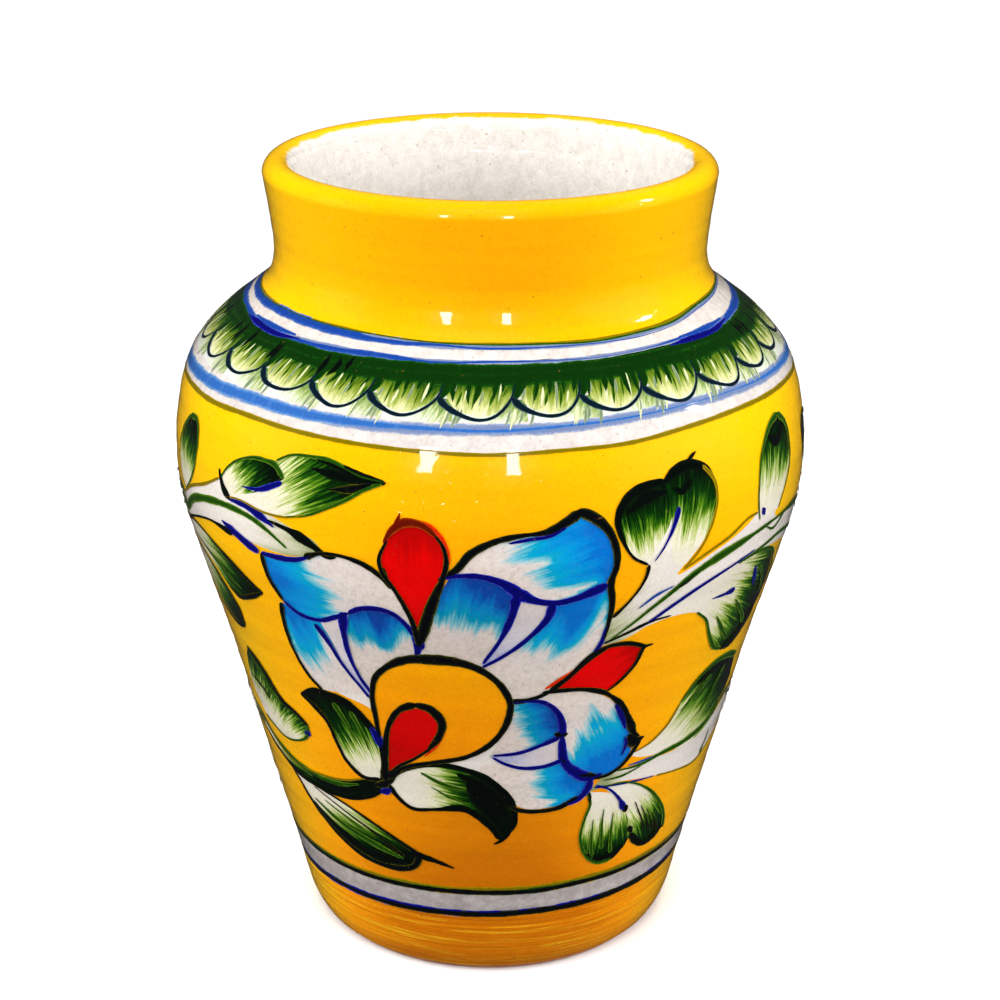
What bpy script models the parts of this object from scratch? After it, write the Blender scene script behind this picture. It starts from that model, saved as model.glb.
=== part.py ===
"""Hand-turned glazed earthenware vase: a foot ring and floor, a swelling belly,
a tight round shoulder and a short wide neck with a rolled lip, all in clay, with
separate thin glaze coats over them. Metres, +Z up, the foot ring rests on z = 0."""

import math

import bmesh
import bpy
from mathutils import Vector

MM = 0.001
SEGMENTS = 40          # facets round every turned piece, the same for all of them
GLAZE = 0.5            # thickness of a glaze coat, mm
GAP = 0.3              # clearance between neighbouring pieces, mm
COAT = GLAZE + GAP     # from the glazed face to the clay under it
WALL = 4.6             # glazed face to glazed face through the wall, mm

HEIGHT = 150.0
BELLY_RADIUS = 58.9
LIP_RADIUS = 2.8       # half the thickness of the rolled lip
LIP_CENTRE = 38.5      # radius of the ring down the middle of the lip

# Heights where one coat of glaze stops and the next begins.
FOOT_GLAZE_LOW = 1.6
FOOT_GLAZE_TOP = 15.2
STRIPE_TOP = 20.1
BAND_LOW = 112.2
BAND_TOP = 126.9
RIM_GLAZE_INSIDE = 143.2   # how far down the inside the neck colour runs

# Heights where the clay sections are luted together.
FOOT_JOINT = 13.6
BELLY_JOINT = 92.0
SHOULDER_JOINT = 111.0
NECK_JOINT = 125.6
LIP_START = 145.8

# The glazed outside of the vase from the foot to under the lip: radius, height.
OUTSIDE = (
    (34.6, 1.6), (36.6, 6.0), (38.6, 14.4), (39.9, 19.6), (44.3, 36.5),
    (50.0, 59.0), (55.5, 78.0), (58.2, 88.5), (BELLY_RADIUS, 97.0), (58.0, 106.0),
    (55.6, 113.8), (51.3, 119.6), (45.7, 124.1), (42.4, 126.7), (40.6, 129.2),
    (39.9, 133.6), (40.4, 141.0), (41.3, 147.6),
)

CLAY = (0.56, 0.26, 0.15, 1.0)
TIN_WHITE = (0.82, 0.76, 0.74, 1.0)
YELLOW = (0.90, 0.46, 0.01, 1.0)


def clear_scene():
    for obj in list(bpy.data.objects):
        bpy.data.objects.remove(obj, do_unlink=True)


def collection_named(name):
    made = bpy.data.collections.new(name)
    bpy.context.scene.collection.children.link(made)
    return made


def glaze(name, colour, roughness, coat):
    material = bpy.data.materials.new(name)
    material.use_nodes = True
    shader = material.node_tree.nodes["Principled BSDF"]
    shader.inputs["Base Color"].default_value = colour
    shader.inputs["Roughness"].default_value = roughness
    shader.inputs["Coat Weight"].default_value = coat
    shader.inputs["Coat Roughness"].default_value = 0.03
    material.diffuse_color = colour
    return material


def turned(name, profile, material, collection):
    """A solid of revolution: the profile at +X is swept round the Z axis. It runs
    down its outer side, so that the faces point out. Its ends may lie on the axis."""
    mesh = bpy.data.meshes.new(name)
    body = bmesh.new()
    points = [body.verts.new((r * MM, 0.0, z * MM)) for r, z in profile]
    for a, b in zip(points, points[1:]):
        body.edges.new((a, b))
    if profile[0][0] > 0.0:
        body.edges.new((points[-1], points[0]))
    body.to_mesh(mesh)
    body.free()
    obj = bpy.data.objects.new(name, mesh)
    collection.objects.link(obj)
    mesh.materials.append(material)
    screw = obj.modifiers.new("turning", "SCREW")
    screw.axis = "Z"
    screw.angle = math.tau
    screw.steps = SEGMENTS
    screw.render_steps = SEGMENTS
    screw.use_merge_vertices = True
    screw.merge_threshold = 0.00001
    screw.use_smooth_shade = False
    return obj


def layer(depth):
    """The outside seen going down, moved into the wall by a depth."""
    path = OUTSIDE[::-1]
    moved = []
    for i, point in enumerate(path):
        here = Vector(point)
        normals = []
        for a, b in ((path[max(i - 1, 0)], point), (point, path[min(i + 1, len(path) - 1)])):
            along = Vector(b) - Vector(a)
            if along.length > 1e-6:
                along.normalize()
                normals.append(Vector((along.y, -along.x)))
        normal = sum(normals, Vector((0.0, 0.0))).normalized()
        moved.append(tuple(here + normal * (depth / normal.dot(normals[0]))))
    return moved


def radius_at(path, z):
    """The radius of a layer at a height, its end stations being run on straight."""
    for (r0, z0), (r1, z1) in zip(path, path[1:]):
        if z1 <= z <= z0:
            return r1 + (r0 - r1) * (z - z1) / (z0 - z1)
    return path[0][0] if z > path[0][1] else path[-1][0]


def slice_of(depth, high, low):
    """The part of a layer between two heights, going down."""
    path = layer(depth)
    between = [(r, z) for r, z in path if low + 0.6 < z < high - 0.6]
    return [(radius_at(path, high), high)] + between + [(radius_at(path, low), low)]


def skin(high, low):
    """The closed profile of a glaze coat on the outside between two heights."""
    return slice_of(0.0, high, low) + slice_of(GLAZE, high, low)[::-1]


def wall(high, low):
    """The closed profile of a clay section between two heights."""
    return slice_of(COAT, high, low) + slice_of(WALL - COAT, high, low)[::-1]


def lip(radius, start, end, count):
    """Points of the rolled lip seen in section, from start to end in degrees, where
    0 faces out and 180 faces the mouth."""
    points = []
    for i in range(count):
        angle = math.radians(start + (end - start) * i / (count - 1))
        points.append((LIP_CENTRE + radius * math.cos(angle),
                       HEIGHT - LIP_RADIUS + radius * math.sin(angle)))
    return points


clear_scene()
vase = collection_named("talavera_pottery_vase")

clay = glaze("fired_clay", CLAY, 0.85, 0.0)
clay_foot = glaze("bare_clay", CLAY, 0.9, 0.0)
white_inside = glaze("tin_white_inside", TIN_WHITE, 0.15, 0.6)
yellow_neck = glaze("neck_yellow", YELLOW, 0.12, 1.0)
white_band = glaze("band_white", TIN_WHITE, 0.12, 1.0)
yellow_belly = glaze("belly_yellow", YELLOW, 0.12, 1.0)
white_stripe = glaze("stripe_white", TIN_WHITE, 0.12, 1.0)
yellow_foot = glaze("foot_yellow", YELLOW, 0.12, 1.0)

# Clay: the floor with its turned foot ring. The floor is a dish that rises into the
# start of the wall, and the ring's underside is left bare.
turned("foot_base",
       [(0.0, 8.0), (25.7, 8.0), (30.8, 9.4)]
       + slice_of(WALL - COAT, FOOT_JOINT, 12.4)[:1]
       + slice_of(COAT, FOOT_JOINT, FOOT_GLAZE_LOW)
       + [(33.6, 0.5), (33.1, 0.0), (28.6, 0.0), (28.1, 0.5), (27.2, 3.0), (0.0, 3.0)],
       clay_foot, vase)

# Clay: the wall in four luted sections, the last one ending in the rolled lip.
turned("belly_wall", wall(BELLY_JOINT, FOOT_JOINT + GAP), clay, vase)
turned("shoulder_wall", wall(SHOULDER_JOINT, BELLY_JOINT + GAP), clay, vase)
turned("shoulder_turn", wall(NECK_JOINT, SHOULDER_JOINT + GAP), clay, vase)
turned("neck_collar",
       lip(LIP_RADIUS - COAT, 200.0, 20.0, 8)
       + slice_of(COAT, LIP_START, NECK_JOINT + GAP)
       + slice_of(WALL - COAT, LIP_START, NECK_JOINT + GAP)[::-1],
       clay, vase)

# Glaze inside: one white coat over the floor and up the wall to the edge of the
# neck colour.
turned("interior_glaze",
       [(0.0, 8.8), (25.4, 8.8), (30.3, 10.2)]
       + slice_of(WALL, RIM_GLAZE_INSIDE - GAP, FOOT_JOINT)[::-1]
       + slice_of(WALL - GLAZE, RIM_GLAZE_INSIDE - GAP, FOOT_JOINT)
       + [(30.6, 9.75), (25.6, 8.3), (0.0, 8.3)],
       white_inside, vase)

# Glaze outside, from the lip down to the foot. The neck colour runs over the lip.
turned("neck_glaze",
       slice_of(WALL, LIP_START, RIM_GLAZE_INSIDE)[::-1]
       + lip(LIP_RADIUS, 205.0, 10.0, 10)
       + slice_of(0.0, LIP_START, BAND_TOP + GAP)
       + slice_of(GLAZE, LIP_START, BAND_TOP + GAP)[::-1]
       + lip(LIP_RADIUS - GLAZE, 10.0, 205.0, 10)
       + slice_of(WALL - GLAZE, LIP_START, RIM_GLAZE_INSIDE),
       yellow_neck, vase)
turned("shoulder_band_glaze", skin(BAND_TOP, BAND_LOW + GAP), white_band, vase)
turned("belly_glaze", skin(BAND_LOW, STRIPE_TOP + GAP), yellow_belly, vase)
turned("foot_stripe_glaze", skin(STRIPE_TOP, FOOT_GLAZE_TOP + GAP), white_stripe, vase)
turned("foot_glaze", skin(FOOT_GLAZE_TOP, FOOT_GLAZE_LOW), yellow_foot, vase)
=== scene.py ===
import bisect
import math
import random

import bpy
from mathutils import Matrix, Vector
from mathutils.geometry import delaunay_2d_cdt


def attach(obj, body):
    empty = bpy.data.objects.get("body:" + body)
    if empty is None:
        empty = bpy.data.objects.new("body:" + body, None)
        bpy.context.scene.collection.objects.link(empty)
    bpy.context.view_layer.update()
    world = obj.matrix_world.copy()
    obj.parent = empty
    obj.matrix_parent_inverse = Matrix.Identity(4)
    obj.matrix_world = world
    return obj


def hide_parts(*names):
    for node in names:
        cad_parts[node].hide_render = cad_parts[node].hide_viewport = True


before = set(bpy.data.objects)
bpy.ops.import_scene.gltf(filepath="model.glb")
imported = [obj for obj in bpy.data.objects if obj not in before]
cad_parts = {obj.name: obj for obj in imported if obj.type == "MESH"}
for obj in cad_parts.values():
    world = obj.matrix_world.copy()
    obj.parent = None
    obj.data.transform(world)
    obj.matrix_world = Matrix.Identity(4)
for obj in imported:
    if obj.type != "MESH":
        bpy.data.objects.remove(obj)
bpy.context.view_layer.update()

MM = 0.001
ROUND = 256      # columns round a turned surface
PAINT_STEP = 0.9  # spacing inside a painted patch, mm

# ---------------------------------------------------------------- turned shape

# The glazed outside, radius and height in mm, from the ground to under the lip.
OUTSIDE = (
    (33.7, 0.4), (34.6, 1.6), (35.7, 3.6), (36.6, 6.0), (38.6, 14.4), (39.9, 19.6), (44.3, 36.5),
    (50.0, 59.0), (55.5, 78.0), (58.2, 88.5), (58.9, 97.0), (58.0, 106.0),
    (55.6, 113.8), (51.0, 119.6), (45.4, 124.1), (42.2, 126.7), (41.1, 128.0),
    (40.3, 129.6), (39.8, 131.6), (39.7, 134.0), (39.95, 137.5), (40.4, 141.0), (41.3, 147.6),
)
WALL = 4.6          # the wall with its coats
COAT = 0.5          # a glaze coat
LIP_RADIUS = 2.8    # the lip is a bead rolled round a ring of this section,
LIP_CENTRE = 38.5   # whose middle lies this far from the axis
HEIGHT = 150.0
LIP_FOOT, LIP_INNER = 146.9, 146.6  # where the bead starts outside and inside
SEAM = 142.5        # inside the mouth, where the neck's coat meets the inside one
FLOOR_TURN = 14.5   # inside, where the wall turns into the floor
NECK_LOW, BAND_LOW, STRIPE_TOP, STRIPE_LOW, FOOT_LOW = 126.9, 112.2, 20.1, 15.2, 1.5


# Where one glaze colour meets the next: the height of each edge in mm at angles from
# the front, in degrees. A hand-held brush lets them wander.
NECK_EDGE = ((-150, 127.1), (-86, 126.6), (-50, 126.8), (0, 126.5), (30, 126.2), (42, 126.4), (61, 127.3),
             (86, 127.6), (140, 126.8), (180, 126.6))
BAND_EDGE = ((-140, 112.2), (-86, 111.6), (-66, 112.1), (-44, 112.7), (-19, 112.4), (0, 112.1), (22, 112.4),
             (39, 113.2), (51, 113.6), (68, 113.2), (86, 112.4), (140, 112.0), (180, 112.4))
STRIPE_EDGE = ((-140, 20.2), (-86, 19.8), (-45, 20.0), (0, 20.5), (45, 20.9), (86, 20.7), (140, 20.0), (180, 20.3))
FOOT_EDGE = ((-140, 15.0), (-86, 13.8), (-59, 13.9), (-39, 14.7), (0, 15.3), (20, 15.6), (47, 15.8), (60, 15.8),
             (86, 15.4), (140, 14.8), (180, 15.2))
RING_EDGE = ((-140, 115.2), (-86, 113.6), (-63, 114.5), (-48, 115.2), (0, 115.5), (31, 116), (41, 116.3),
             (53, 116.1), (65, 115.6), (86, 115), (140, 115.2), (180, 115.6))
COAT_EDGES = ((NECK_LOW, NECK_EDGE, 5.0), (BAND_LOW, BAND_EDGE, 5.0), (STRIPE_TOP, STRIPE_EDGE, 2.6),
              (STRIPE_LOW, FOOT_EDGE, 2.6))  # height, edge, and how far from it the coat gives way, mm


def around(edge, a):
    """The height of an edge at an angle, eased between its points and joined at the back."""
    a = (a + 180.0) % 360.0 - 180.0
    loop = [(edge[-1][0] - 360.0, edge[-1][1])] + list(edge) + [(edge[0][0] + 360.0, edge[0][1])]
    for (a0, z0), (a1, z1) in zip(loop, loop[1:]):
        if a <= a1:
            t = (a - a0) / (a1 - a0)
            t = t * t * (3 - 2 * t)
            return z0 + (z1 - z0) * t
    return loop[-1][1]


def wander(a, z):
    """How far a point of a glaze coat moves up so that the coat ends at its edge."""
    return sum((around(edge, a) - home) * max(0.0, 1.0 - abs(z - home) / reach) for home, edge, reach in COAT_EDGES)


def slopes():
    """Radius gained per mm of height at each point of the outside."""
    out = []
    for i in range(len(OUTSIDE)):
        a = OUTSIDE[max(i - 1, 0)]
        b = OUTSIDE[min(i + 1, len(OUTSIDE) - 1)]
        out.append((b[0] - a[0]) / (b[1] - a[1]))
    return out


SLOPES = slopes()


def radius(z):
    """The outside at a height, as a smooth curve through its points."""
    z = min(max(z, OUTSIDE[0][1]), OUTSIDE[-1][1])
    for i in range(len(OUTSIDE) - 1):
        r0, z0 = OUTSIDE[i]
        r1, z1 = OUTSIDE[i + 1]
        if z <= z1:
            h = z1 - z0
            t = (z - z0) / h
            return ((2 * t ** 3 - 3 * t ** 2 + 1) * r0 + (t ** 3 - 2 * t ** 2 + t) * h * SLOPES[i]
                    + (3 * t ** 2 - 2 * t ** 3) * r1 + (t ** 3 - t ** 2) * h * SLOPES[i + 1])
    return OUTSIDE[-1][0]


def lean(z):
    """Radius gained per mm of height."""
    return (radius(z + 0.4) - radius(z - 0.4)) / 0.8


def wobble(a, z):
    """What the hand leaves: a slight out-of-round and shallow throwing rings, mm."""
    t = math.radians(a)
    ease = min(1.0, max(0.0, (z - 2.0) / 8.0)) * min(1.0, max(0.0, (147.0 - z) / 8.0))
    return ease * (0.10 * math.sin(2 * t + 0.9) + 0.06 * math.sin(3 * t - 0.02 * z)
                   + 0.035 * math.sin(z * 0.83 + 0.6 * math.sin(t)) + 0.02 * math.sin(z * 1.9 + 2 * t))


def surf(a, z, lift=0.0):
    """The point of the glaze at an angle from the front, degrees, and a height, mm,
    raised off it by lift mm. Returned in metres."""
    r = radius(z) + wobble(a, z)
    slope = lean(z)
    n = math.hypot(1.0, slope)
    r += lift / n
    z -= lift * slope / n
    t = math.radians(a)
    return (r * math.sin(t) * MM, -r * math.cos(t) * MM, z * MM)


def run_length():
    """Length along the wall up to every tenth of a mm of height."""
    table, last = [0.0], (radius(0.0), 0.0)
    for k in range(1, 1501):
        here = (radius(k * 0.1), k * 0.1)
        table.append(table[-1] + math.hypot(here[0] - last[0], here[1] - last[1]))
        last = here
    return table


RUN = run_length()


def sheet(a, z, ref):
    """Unrolls a point of the wall: mm round the wall at a reference radius, mm up it."""
    k = min(max(z, 0.0), 149.9) * 10
    i = int(k)
    return (math.radians(a) * ref, RUN[i] + (RUN[i + 1] - RUN[i]) * (k - i))


def unsheet(x, y, ref):
    i = min(max(bisect.bisect_right(RUN, y) - 1, 0), len(RUN) - 2)
    return (math.degrees(x / ref), (i + (y - RUN[i]) / (RUN[i + 1] - RUN[i])) * 0.1)


# ---------------------------------------------------------------- mesh helpers

def new_object(name, verts, faces, material):
    mesh = bpy.data.meshes.new(name)
    mesh.from_pydata(verts, [], faces)
    mesh.validate()
    obj = bpy.data.objects.new(name, mesh)
    bpy.context.scene.collection.objects.link(obj)
    mesh.materials.append(material)
    mesh.polygons.foreach_set("use_smooth", [True] * len(mesh.polygons))
    mesh.set_sharp_from_angle(angle=math.radians(50))
    return obj


def lathe(name, path, material):
    """A closed ring of a section swept round the axis. Each point of the path is
    radius, height in mm, with True where it lies on the painted outside."""
    verts, faces = [], []
    n = len(path)
    for r, z, face in path:
        for k in range(ROUND):
            a = 360.0 * k / ROUND
            if face:
                verts.append(surf(a, z + wander(a, z)))
            else:
                t = math.radians(a)
                verts.append((r * math.sin(t) * MM, -r * math.cos(t) * MM, z * MM))
    for i in range(n):
        j = (i + 1) % n
        for k in range(ROUND):
            m = (k + 1) % ROUND
            faces.append((i * ROUND + k, j * ROUND + k, j * ROUND + m, i * ROUND + m))
    return new_object(name, verts, faces, material)


def heights(high, low, step):
    n = max(2, int(round(abs(high - low) / step)))
    return [high + (low - high) * i / n for i in range(n + 1)]


def coat_path(high, low, step):
    """The section of a glaze coat: down its face, then back up behind it."""
    face = [(0.0, z, True) for z in heights(high, low, step)]
    back = [(radius(z) - COAT, z, False) for z in heights(high, low, step * 4)]
    return face + back[::-1]


# ---------------------------------------------------------------- node helpers

class Nodes:
    """Short hand for building the nodes of one material, or of the world."""

    def __init__(self, name, library=bpy.data.materials):
        self.owner = library.new(name)
        self.owner.use_nodes = True
        self.tree = self.owner.node_tree
        self.shader = self.tree.nodes.get("Principled BSDF")

    def add(self, kind, **settings):
        node = self.tree.nodes.new(kind)
        for key, value in settings.items():
            setattr(node, key, value)
        return node

    def link(self, a, b):
        self.tree.links.new(a, b)

    def put(self, socket, value):
        if isinstance(value, bpy.types.NodeSocket):
            self.link(value, socket)
        else:
            socket.default_value = value

    def fix(self, node, settings):
        for key, value in settings.items():
            node.inputs[key].default_value = value

    def math(self, operation, a, b=0.0):
        node = self.add("ShaderNodeMath", operation=operation)
        self.put(node.inputs[0], a)
        self.put(node.inputs[1], b)
        return node.outputs[0]

    def plus(self, a, b):
        return self.math("ADD", a, b)

    def minus(self, a, b):
        return self.math("SUBTRACT", a, b)

    def times(self, a, b):
        return self.math("MULTIPLY", a, b)

    def attribute(self, name):
        return self.add("ShaderNodeAttribute", attribute_name=name).outputs["Fac"]

    def place(self, scale=(1.0, 1.0, 1.0)):
        """Position on the object, in mm times scale."""
        where = self.add("ShaderNodeTexCoord").outputs["Object"]
        node = self.add("ShaderNodeMapping")
        node.inputs["Scale"].default_value = [1000.0 * s for s in scale]
        self.link(where, node.inputs["Vector"])
        return node.outputs[0]

    def vector(self, x, y, z):
        node = self.add("ShaderNodeCombineXYZ")
        for socket, value in zip(node.inputs, (x, y, z)):
            self.put(socket, value)
        return node.outputs[0]

    def noise(self, vector, scale, detail=2.0, roughness=0.5):
        node = self.add("ShaderNodeTexNoise")
        self.fix(node, {"Scale": scale, "Detail": detail, "Roughness": roughness})
        self.link(vector, node.inputs["Vector"])
        return node.outputs["Fac"]

    def ramp(self, value, stops):
        node = self.add("ShaderNodeValToRGB")
        items = node.color_ramp.elements
        while len(items) < len(stops):
            items.new(0.5)
        for item, (at, colour) in zip(items, stops):
            item.position = at
            item.color = tint(colour)
        self.link(value, node.inputs["Fac"])
        return node.outputs["Color"]

    def span(self, value, low, high, to_low=0.0, to_high=1.0):
        """Takes low to to_low and high to to_high, and keeps to that range."""
        node = self.add("ShaderNodeMapRange")
        self.fix(node, {"From Min": low, "From Max": high, "To Min": to_low, "To Max": to_high})
        self.link(value, node.inputs["Value"])
        return node.outputs["Result"]

    def mix(self, factor, a, b, mode="MIX"):
        node = self.add("ShaderNodeMix", data_type="RGBA", blend_type=mode)
        self.put(node.inputs[0], factor)
        self.put(node.inputs[6], tint(a) if isinstance(a, tuple) else a)
        self.put(node.inputs[7], tint(b) if isinstance(b, tuple) else b)
        return node.outputs[2]

    def relief(self, height, strength, distance):
        """Raises the surface by a height, distance metres at most."""
        node = self.add("ShaderNodeBump")
        self.fix(node, {"Strength": strength, "Distance": distance})
        self.link(height, node.inputs["Height"])
        self.link(node.outputs["Normal"], self.shader.inputs["Normal"])
        return node.outputs["Normal"]


def tint(colour):
    """An sRGB colour, 0 to 255, as the linear colour that nodes use."""
    shares = (c / 255.0 for c in colour)
    return (*(c / 12.92 if c <= 0.04045 else ((c + 0.055) / 1.055) ** 2.4 for c in shares), 1.0)


def glaze_finish(m, colour, pits=True, ridges=0.0):
    """The clear glassy coat that lies over every colour: specks, pinholes, a slight
    orange peel, and a coat with its own constant gloss."""
    spot = m.place()
    grain = m.noise(spot, 1.9, 3.0, 0.6)
    colour = m.mix(m.span(grain, 0.30, 0.72, 0.0, 0.16), colour, (70, 52, 40), "MULTIPLY")
    specks = m.noise(spot, 1.7, 1.0, 0.4)
    colour = m.mix(m.span(specks, 0.765, 0.80, 0.0, 0.75), colour, (110, 70, 30))
    m.link(colour, m.shader.inputs["Base Color"])
    wet = m.noise(spot, 0.35, 3.0, 0.55)
    m.link(m.span(wet, 0.3, 0.7, 0.16, 0.30), m.shader.inputs["Roughness"])
    height = m.noise(spot, 0.16, 2.0, 0.5)
    if pits:
        height = m.minus(height, m.times(m.span(m.noise(spot, 1.15, 0.0), 0.76, 0.84), 0.5))
    if ridges:
        height = m.plus(height, m.times(m.noise(m.place((0.03, 0.03, 1.0)), 1.1, 3.0, 0.6), ridges))
    m.link(m.relief(height, 0.35, 0.0002), m.shader.inputs["Coat Normal"])
    m.fix(m.shader, {"Coat Weight": 1.0, "Coat Roughness": 0.035, "Coat IOR": 1.5, "IOR": 1.45,
                     "Specular IOR Level": 0.08})
    return m.owner


LEMON, YELLOW, AMBER, HONEY = (255, 196, 0), (255, 176, 0), (250, 154, 0), (212, 116, 0)
INSIDE_TONES = (219, 212, 204), (238, 233, 226)


def yellow_glaze(name, ridges=0.0, white_inside=False, depth=0.0, streaks=0.0):
    m = Nodes(name)
    where = m.add("ShaderNodeSeparateXYZ")
    m.link(m.place(), where.inputs[0])
    x, y, z = where.outputs
    # Painted shade: the yellow is darkened to orange towards the front and the back, over the middle of each flower,
    # and more so low down.
    out = m.math("SQRT", m.plus(m.math("POWER", x, 2.0), m.math("POWER", y, 2.0)))
    # This term is painted shade: strongest at the front and the back, none at the sides.
    front_back_shade = m.math("POWER", m.math("DIVIDE", y, out), 2.0)
    # More painted shade towards the bottom.
    low = m.plus(m.span(z, 12.0, 112.0, 0.5, 0.0), m.span(z, 16.0, 58.0, 0.30, 0.0))
    thick = m.times(m.plus(0.38, low), front_back_shade)
    broad = m.noise(m.place((1.0, 1.0, 1.6)), 0.022, 3.0, 0.6)
    brush = m.noise(m.place((0.10, 0.10, 1.4)), 0.9, 3.0, 0.65)
    uneven = m.plus(m.times(broad, 0.26), m.times(brush, 0.12))
    mixed = m.plus(m.minus(thick, 0.19 - depth), uneven)
    colour = m.ramp(mixed, ((0.10, LEMON), (0.38, YELLOW), (0.62, AMBER), (1.0, HONEY)))
    if streaks:
        # Round the foot the tool has left level streaks, pale where the glaze runs thin.
        streak = m.noise(m.place((0.05, 0.05, 1.5)), 0.8, 4.0, 0.7)
        colour = m.mix(m.span(streak, 0.52, 0.70, 0.0, streaks), colour, (255, 214, 40))
        colour = m.mix(m.span(streak, 0.48, 0.30, 0.0, streaks), colour, (196, 104, 0))
    if white_inside:
        # Inside the mouth the yellow ends in a ragged edge over the white glaze.
        ragged = m.times(m.noise(m.place((1.0, 1.0, 0.3)), 0.20, 4.0, 0.65), 1.2)
        edge = m.plus(m.minus(z, HEIGHT), ragged)
        inner = m.times(m.span(out, 38.0, 38.4, 1.0, 0.0), m.span(edge, -0.2, 0.2, 1.0, 0.0))
        colour = m.mix(inner, colour, white_tone(m, *INSIDE_TONES))
    return glaze_finish(m, colour, ridges=ridges)


def white_tone(m, dark, light):
    colour = m.ramp(m.noise(m.place(), 0.5, 4.0, 0.65), ((0.3, dark), (0.68, light)))
    dots = m.noise(m.place(), 1.5, 1.0, 0.3)
    return m.mix(m.span(dots, 0.72, 0.80, 0.0, 0.5), colour, (150, 120, 104))


def white_glaze(name, dark, light, ridges=0.0):
    m = Nodes(name)
    return glaze_finish(m, white_tone(m, dark, light), ridges=ridges)


def brushed(name, fine, broad, seed, hair_scale, dust, stops):
    """Paint laid in hair strokes. tone runs 0 to 1 from the thin end of a stroke to
    the loaded end, and hair counts mm across the strokes."""
    m = Nodes(name)
    tone, hair = m.attribute("tone"), m.attribute("hair")
    hairs = m.noise(m.vector(m.times(hair, hair_scale), m.times(tone, 2.2), seed), 1.0, 3.0, 0.7)
    clumps = m.noise(m.vector(m.times(hair, hair_scale * 0.28), m.times(tone, 1.0), seed + 7.0), 1.0, 2.0, 0.55)
    push = m.plus(m.times(m.minus(hairs, 0.5), fine * 2.0), m.times(m.minus(clumps, 0.5), broad * 2.0))
    colour = m.ramp(m.plus(tone, push), stops)
    if dust:
        grain = m.noise(m.place(), 1.1, 4.0, 0.7)
        bare = m.span(m.plus(tone, push), 0.34, 0.52, 1.0, 0.12)
        colour = m.mix(m.times(m.span(grain, 0.46, 0.74, 0.0, dust), bare), colour, (140, 112, 96))
    return glaze_finish(m, colour, pits=False)


def ink(name, heart, rim, faded):
    """A line of dark pigment: thin at its edges, thick down the middle."""
    m = Nodes(name)
    across, along = m.attribute("across"), m.attribute("along")
    ragged = m.times(m.minus(m.noise(m.place(), 2.2, 3.0, 0.6), 0.5), 0.7)
    colour = m.ramp(m.plus(m.math("ABSOLUTE", across), ragged), ((0.45, heart), (0.80, rim), (1.0, faded)))
    load = m.noise(m.vector(m.times(along, 0.5), 3.0, 1.0), 1.0, 2.0, 0.5)
    colour = m.mix(m.span(load, 0.55, 0.75, 0.0, 0.5), colour, rim)
    return glaze_finish(m, colour, pits=False)


def clay_look(name, low, high):
    m = Nodes(name)
    spot = m.place()
    colour = m.ramp(m.noise(spot, 0.35, 5.0, 0.7), ((0.3, low), (0.7, high)))
    colour = m.mix(m.span(m.noise(spot, 1.6, 2.0), 0.62, 0.72, 0.0, 0.6), colour, (208, 168, 138))
    m.link(colour, m.shader.inputs["Base Color"])
    m.link(m.span(m.noise(spot, 0.8, 3.0), 0.3, 0.7, 0.75, 0.95), m.shader.inputs["Roughness"])
    rings = m.noise(m.place((0.02, 0.02, 1.0)), 0.9, 3.0, 0.6)
    m.relief(m.plus(rings, m.noise(spot, 1.4, 4.0, 0.7)), 0.5, 0.0003)
    return m.owner


# ---------------------------------------------------------------- materials

M_NECK = yellow_glaze("yellow glaze on the neck", white_inside=True, depth=0.07)
M_BELLY = yellow_glaze("yellow glaze on the belly")
M_FOOT = yellow_glaze("yellow glaze on the foot", ridges=3.2, depth=0.02, streaks=0.6)
M_WHITE = white_glaze("white glaze on the shoulder", (198, 188, 182), (222, 215, 210))
M_STRIPE = white_glaze("white stripe glaze", (158, 148, 144), (190, 182, 180))
M_INSIDE = white_glaze("white glaze inside", *INSIDE_TONES, ridges=0.5)
M_CLAY = clay_look("fired clay", (150, 82, 52), (184, 110, 74))
M_BARE = clay_look("bare clay foot", (164, 96, 62), (200, 132, 94))

# Tones of each brushed paint, from a bare brush to a loaded one.
PETAL = ((0.0, (226, 212, 202)), (0.34, (222, 212, 206)), (0.45, (130, 196, 208)), (0.55, (0, 162, 196)),
         (0.70, (0, 150, 210)), (0.86, (0, 134, 208)), (1.0, (0, 108, 196)))
DEEP = ((0.0, (218, 204, 194)), (0.32, (214, 202, 196)), (0.43, (120, 184, 196)), (0.54, (0, 146, 178)),
        (0.70, (0, 128, 188)), (0.86, (2, 96, 176)), (1.0, (6, 64, 152)))
LEAF = ((0.0, (232, 224, 208)), (0.30, (226, 222, 190)), (0.41, (184, 196, 112)), (0.51, (104, 144, 26)),
        (0.61, (38, 92, 6)), (0.74, (6, 46, 4)), (1.0, (2, 12, 4)))
LAPPET = ((0.0, (226, 224, 188)), (0.16, (206, 206, 148)), (0.32, (152, 164, 76)), (0.46, (104, 128, 30)),
          (0.60, (50, 84, 12)), (0.74, (12, 52, 6)), (1.0, (4, 34, 4)))
HATCH = ((0.0, (216, 218, 212)), (0.40, (206, 212, 192)), (0.62, (176, 188, 134)), (0.85, (128, 150, 80)),
         (1.0, (96, 130, 52)))
RED = ((0.0, (206, 0, 0)), (0.35, (228, 0, 0)), (0.7, (220, 0, 0)), (1.0, (180, 0, 0)))
EMBER = ((0.0, (186, 0, 0)), (0.5, (204, 0, 0)), (1.0, (214, 2, 0)))
STEM = ((0.0, (232, 224, 216)), (0.55, (228, 220, 208)), (0.8, (200, 198, 168)), (1.0, (150, 160, 110)))
LILAC = ((0.0, (176, 180, 216)), (0.4, (206, 200, 208)), (1.0, (214, 202, 198)))
GOLD = ((0.0, (244, 144, 0)), (0.5, (252, 156, 0)), (1.0, (255, 168, 0)))

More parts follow.
